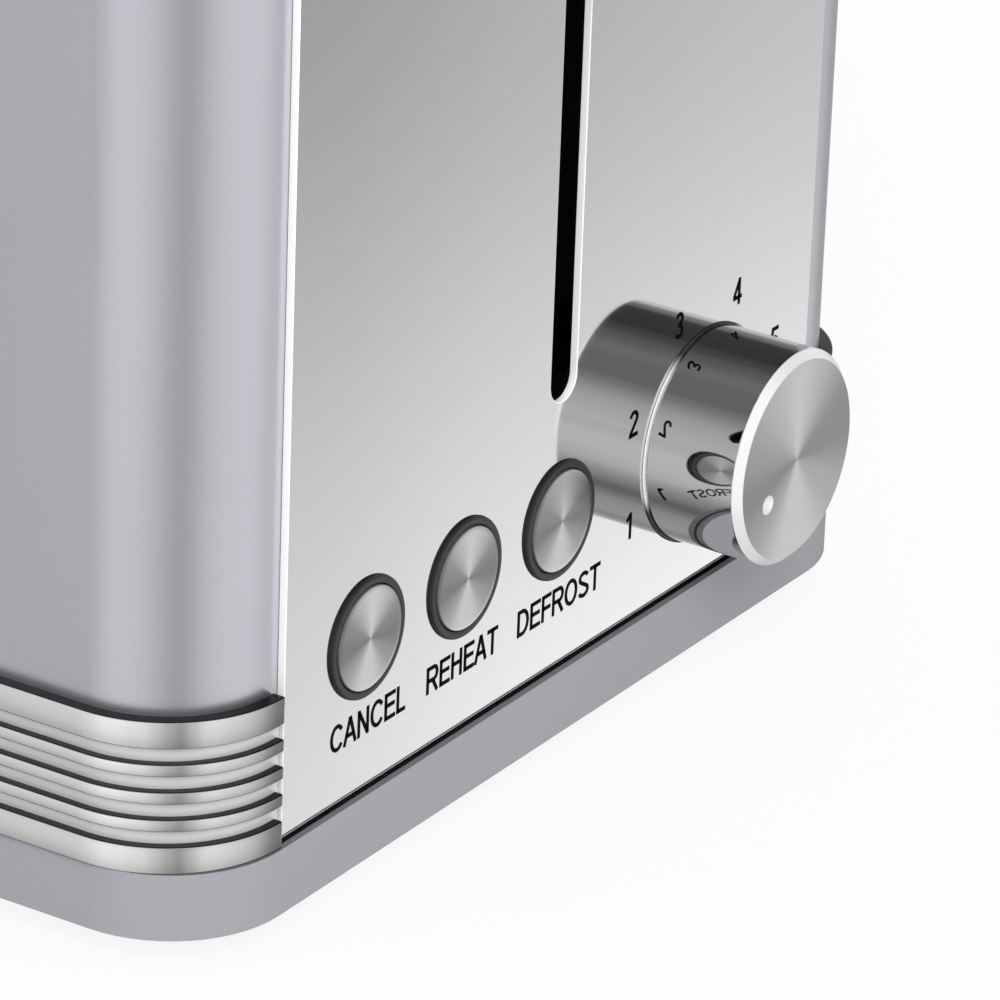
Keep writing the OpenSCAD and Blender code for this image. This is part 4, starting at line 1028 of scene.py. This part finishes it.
guideSizes = {"wires": 10, "wireRadius": 1.0, "railRadius": 1.3, "firstWire": 9.2, "wireSpan": 132.0}
guideBodies = {"guide_left_outer": "guide_1", "guide_left_inner": "guide_2", "guide_right_inner": "guide_3",
               "guide_right_outer": "guide_4"}


def makeGuides(sizes):
    wireTree = makeWireTree()
    rail, wire, first, span = metres(sizes, "railRadius wireRadius firstWire wireSpan")
    for node, body in guideBodies.items():
        low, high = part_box(node)
        values = {"Material": materials["rodSteel"], "Length": high.y - low.y, "Height": high.z - low.z - 2 * rail,
                  "Rail Radius": rail, "Wire Radius": wire, "Wires": sizes["wires"], "First Wire": first,
                  "Wire Pitch": span / (sizes["wires"] - 1)}
        mesh = runTree(*wireTree, [((low.x + high.x) / 2, low.y, low.z + rail)], [], values)
        addPiece(mesh, node + "Wires", body, "steel", node, angle=40)


makeGuides(guideSizes)
print("bread guides made")


def makeStripTree():
    # flat strips on points, each a little out of true
    tree, given, identifiers = newTree("heatingStrips", {"Strip Size": "Vector", "Sway": "Float", "Seed": "Int"})
    strip = nodeOut(tree, "GeometryNodeMeshCube", [("Size", given["Strip Size"]), ("Vertices X", 2),
                                                   ("Vertices Y", 9), ("Vertices Z", 2)])
    less = mathNode(tree, "MULTIPLY", given["Sway"], -1.0)
    tilt = addNode(tree, "FunctionNodeRandomValue", [(2, less), (3, given["Sway"]), ("Seed", given["Seed"])],
                   data_type="FLOAT").outputs[1]
    endTree(tree, given, copiesOn(tree, given["Geometry"], strip, [("Rotation", vectorOf(tree, X=tilt))]))
    return tree, identifiers


stripSizes = {"rows": 14, "height": 1.4, "thick": 0.3, "cardThick": 0.6, "cards": (6.0, 48.0), "sway": 0.002,
              "seed": 4}


def makeStrips(sizes):
    low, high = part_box("heating_ribbons")
    across = (sizes["cardThick"] + sizes["thick"]) / 2 * mm
    middleY, height = (low.y + high.y) / 2, sizes["height"] * mm
    pitch = (high.z - low.z - height) / (sizes["rows"] - 1)
    points = [(side * card * mm + face * across, middleY, low.z + height / 2 + row * pitch)
              for card in sizes["cards"] for side in (-1, 1) for face in (-1, 1) for row in range(sizes["rows"])]
    mesh = runTree(*makeStripTree(), points, [],
                   {"Material": materials["ribbonWire"], "Sway": sizes["sway"], "Seed": sizes["seed"],
                    "Strip Size": (sizes["thick"] * mm, high.y - low.y, height)})
    addPiece(mesh, "heatingStrips", "housing", "ribbon", "heating_ribbons", angle=30)


makeStrips(stripSizes)
print("heating ribbons made")


def makeHeadTree():
    # a head copied to every point
    tree, given, identifiers = newTree("headsOnPoints", {"Head": "Object"})
    head = addNode(tree, "GeometryNodeObjectInfo", [("Object", given["Head"])]).outputs["Geometry"]
    endTree(tree, given, copiesOn(tree, given["Geometry"], head))
    return tree, identifiers


screwSizes = {"panel_screws": {"radius": 3.0, "tall": 1.2, "shank": 1.2, "reach": 8.0, "cross": 2.8, "deep": 0.7},
              "base_screws": {"radius": 3.2, "tall": 1.2, "shank": 1.6, "reach": 14.6, "cross": 3.0, "deep": 0.7}}


def makeScrewHead(sizes):
    # a pan head with a cross recess on a shank, drawn along Y with its head at the origin's outer side
    radius, tall, shank, reach, cross, deep = metres(sizes, "radius tall shank reach cross deep")
    profile = [(0, -reach), (shank, -reach), (shank, 0), (radius, 0), (radius, tall * 0.12)]
    profile += [(radius * across, tall * up) for across, up in arcPoints(0, 0, 1, 0, 90, 8)[1:-1]] + [(0, tall)]
    bm = bmesh.new()
    for wide, high in ((cross, cross / 4), (cross / 4, cross)):
        addBlock(bm, (-wide / 2, tall - deep, -high / 2), (wide / 2, tall + mm, high / 2))
    return cutAway(turnedMesh(profile, (0, 0), 40), meshFrom(bm), use_self=True)


def makeScrews(sizes):
    headTree = makeHeadTree()
    for node, size in sizes.items():
        low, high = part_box(node)
        radius, tall = metres(size, "radius tall")
        mesh = makeScrewHead(size)
        acrossX, acrossY, acrossZ = ((low[k] + radius, high[k] - radius) for k in range(3))
        if node == "panel_screws":
            points = [(x, high.y - tall, z) for x in acrossX for z in acrossZ]
        else:
            points = [(x, y, low.z + tall) for x in acrossX for y in acrossY]
            mesh.transform(Matrix.Rotation(math.radians(-90), 4, "X"))  # heads down
        head = addObject("screwHead", mesh)
        label = node.split("_")[0] + "Screws"
        screws = runTree(*headTree, points, [], {"Material": materials["steel"], "Head": head})
        bpy.data.objects.remove(head)
        addPiece(screws, label, "housing", "steel", node, angle=30)


makeScrews(screwSizes)
print("screws made")


traySizes = {"edge": 0.5, "gripHeight": 2.0, "gripDepth": 5.0, "gripWidth": 60.0, "overlap": 0.6}


def makeTrayHandle(sizes):
    low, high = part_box("tray_handle")
    edge, tall, deep, wide, overlap = metres(sizes, "edge gripHeight gripDepth gripWidth overlap")
    back = high.y - deep
    bm = bmesh.new()
    addBlock(bm, low, (high.x, back, high.z), edge)
    addBlock(bm, (-wide / 2, back - overlap, high.z - tall), (wide / 2, high.y, high.z), edge)
    addPiece(meshFrom(bm, recalc=False), "trayHandle", "tray", "plinth_paint", "tray_handle", finish="plinthPaint")


glandSizes = {"flange": 2.2, "bore": 3.6, "soft": 0.7, "sleeve": 6.5, "rings": 3, "groove": 0.35}


def makeGland(sizes):
    # a rubber grommet with a rounded flange and turned rings round its mouth
    low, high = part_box("cord_gland")
    flange, bore, soft, sleeve, groove = metres(sizes, "flange bore soft sleeve groove")
    radius, base = (high.x - low.x) / 2, high.y - flange
    profile = [(bore, low.y), (sleeve, low.y), (sleeve, base), (radius, base)]
    profile += arcPoints(radius - soft, high.y - soft, soft, 0, 90, 6)
    step = (radius - soft - bore - soft) / (2 * sizes["rings"] + 1)
    for k in range(sizes["rings"]):
        at = radius - soft - step * (2 * k + 1)
        profile += [(at - step * share, high.y - deep) for share, deep in ((0, 0), (0.25, groove), (0.75, groove),
                                                                           (1, 0))]
    profile += arcPoints(bore + soft, high.y - soft, soft, 90, 180, 6)
    mesh = turnedMesh(profile, centreOf("cord_gland"), 72, closed=True)
    addPiece(mesh, "cordGland", "housing", "black_plastic", "cord_gland", finish="rubber", angle=40)


makeTrayHandle(traySizes)
makeGland(glandSizes)
print("tray handle and gland made")


# what a user would change about the studio: what polished metal mirrors, by direction in degrees. The ring runs
# round the floor, 0 at the left side and 90 at the front; the arch runs over the top from left (0) to right (180)
studio = {"level": 0.82, "floorReach": 4.0, "floorDiffuse": 0.8, "floorGlow": 0.9,
          "ring": ((-178, .35), (-150, .75), (-120, .55), (-90, .14), (-62, .13), (-45, .31), (-34, .70),
                   (-12, .86), (-2, .86), (8, .80), (18, .76), (28, .60), (38, .43), (48, .32), (58, .52),
                   (68, .72), (78, .80), (88, .82), (98, .86), (108, .88), (118, .84), (128, .70), (137, .58),
                   (143, .58), (146, .76), (149, 1.06), (151, 1.22), (162, .95), (172, .40)),
          "rightPart": ((-180, 0), (132, 0), (143, 1), (158, 1), (172, 0), (180, 0)),
          "rightLow": {"low": -0.47, "high": -0.33, "first": 1.14, "last": 0.53},
          "under": {"low": -0.80, "high": -0.50, "first": 0.42},
          "arch": ((0, .48), (10, .54), (20, .50), (28, .46), (36, .40), (43, .31), (50, .22), (58, .16),
                   (75, .16), (88, .18), (104, .12), (115, .07), (127, .04), (142, .045), (155, .05), (168, .20),
                   (180, .35)),
          "backArch": 0.52, "archAt": 0.487, "archEdge": (6.0, -0.8), "horizon": 0.10,
          "key": {"place": (-0.9, -0.9, 1.1), "aim": (0, 0, 0.08), "size": 0.9, "energy": 15.0}}


def mixShaders(tree, share, first, second):
    return nodeOut(tree, "ShaderNodeMixShader", [(0, share), (1, first), (2, second)])


def makeWorld(sizes):
    world = scene.world = bpy.data.worlds.new("studio")
    world.use_nodes = True
    tree = world.node_tree
    tree.nodes.clear()
    calc = functools.partial(mathNode, tree)
    axes = axesOf(tree, tree.nodes.new("ShaderNodeTexCoord").outputs["Generated"])
    height = axes["Z"]
    back, left = (calc("MULTIPLY", axes[axis], -1.0) for axis in "YX")
    turn = calc("MULTIPLY_ADD", calc("ARCTAN2", back, left), 1 / (2 * math.pi), 0.5)
    ring, rightPart = (rampOf(tree, turn, [((angle + 180) / 360, value) for angle, value in sizes[key]])
                       for key in ("ring", "rightPart"))
    # towards the right the mirrored floor gets lighter lower down, and straight down lies the toaster's own shade
    lighter = mapRange(tree, height, **sizes["rightLow"], kind="SMOOTHSTEP")
    change = calc("MULTIPLY", calc("SUBTRACT", lighter, 1.0), rightPart)
    floorLight = calc("MULTIPLY", ring, calc("ADD", change, 1.0))
    floorLight = calc("MULTIPLY", floorLight, mapRange(tree, height, **sizes["under"]))
    over = calc("MULTIPLY", calc("ARCTAN2", height, left), 1 / math.pi, clamp=True)
    frontArch = rampOf(tree, over, [(angle / 180, value) for angle, value in sizes["arch"]])
    # the dim arch stands in one band before the toaster; the rest of the room above is plain
    band = calc("ABSOLUTE", calc("ADD", axes["Y"], sizes["archAt"]))
    behind = calc("MULTIPLY_ADD", band, *sizes["archEdge"], clamp=True)
    arch = calc("ADD", calc("MULTIPLY", behind, sizes["backArch"]),
                calc("MULTIPLY", frontArch, calc("SUBTRACT", 1.0, behind)))
    above = mapRange(tree, height, -sizes["horizon"], sizes["horizon"])
    room = nodeOut(tree, "ShaderNodeMixRGB", [(0, above), (1, floorLight), (2, arch)])
    mirrored, plain, white = (
        nodeOut(tree, "ShaderNodeBackground", [("Color", colour), ("Strength", strength)])
        for colour, strength in ((room, 1.0), ((1, 1, 1, 1), sizes["level"]), ((1, 1, 1, 1), 1.0)))
    path = tree.nodes.new("ShaderNodeLightPath").outputs
    seen = calc("MAXIMUM", path["Is Camera Ray"], path["Is Transmission Ray"])
    result = mixShaders(tree, seen, mixShaders(tree, path["Is Glossy Ray"], plain, mirrored), white)
    addNode(tree, "ShaderNodeOutputWorld", [("Surface", result)])


def makeFloor(sizes):
    # a white floor that keeps the soft shadow under the toaster
    mesh = bpy.data.meshes.new("floor")
    reach = sizes["floorReach"]
    mesh.from_pydata([(-reach, -reach, 0), (reach, -reach, 0), (reach, reach, 0), (-reach, reach, 0)], [],
                     [(0, 1, 2, 3)])
    floor = addObject("floor", mesh)
    material = bpy.data.materials.new("whiteFloor")
    material.use_nodes = True
    tree = material.node_tree
    tree.nodes.clear()
    path = tree.nodes.new("ShaderNodeLightPath").outputs
    seen = mathNode(tree, "ADD", path["Is Camera Ray"], path["Is Glossy Ray"])
    seen = mathNode(tree, "ADD", seen, path["Is Transmission Ray"], clamp=True)
    diffuse = nodeOut(tree, "ShaderNodeBsdfDiffuse", [("Color", (sizes["floorDiffuse"],) * 3 + (1,))])
    glow = nodeOut(tree, "ShaderNodeEmission", [("Strength", 1.0)])
    surface = mixShaders(tree, mathNode(tree, "MULTIPLY", seen, sizes["floorGlow"]), diffuse, glow)
    addNode(tree, "ShaderNodeOutputMaterial", [("Surface", surface)])
    material.cycles.emission_sampling = "NONE"
    mesh.materials.append(material)
    floor.visible_glossy = False


def addLamp(name, place, aim, size, energy):
    data = bpy.data.lights.new(name, "AREA")
    data.shape, data.size, data.energy = "DISK", size, energy
    lamp = addObject(name, data)
    facing = (Vector(aim) - Vector(place)).normalized()
    lamp.matrix_world = Matrix.Translation(place) @ facing.to_track_quat("-Z", "Y").to_matrix().to_4x4()
    lamp.visible_glossy = False


makeWorld(studio)
makeFloor(studio)
addLamp("keyLamp", **studio["key"])
scene.view_settings.view_transform = "Standard"
print("studio made")
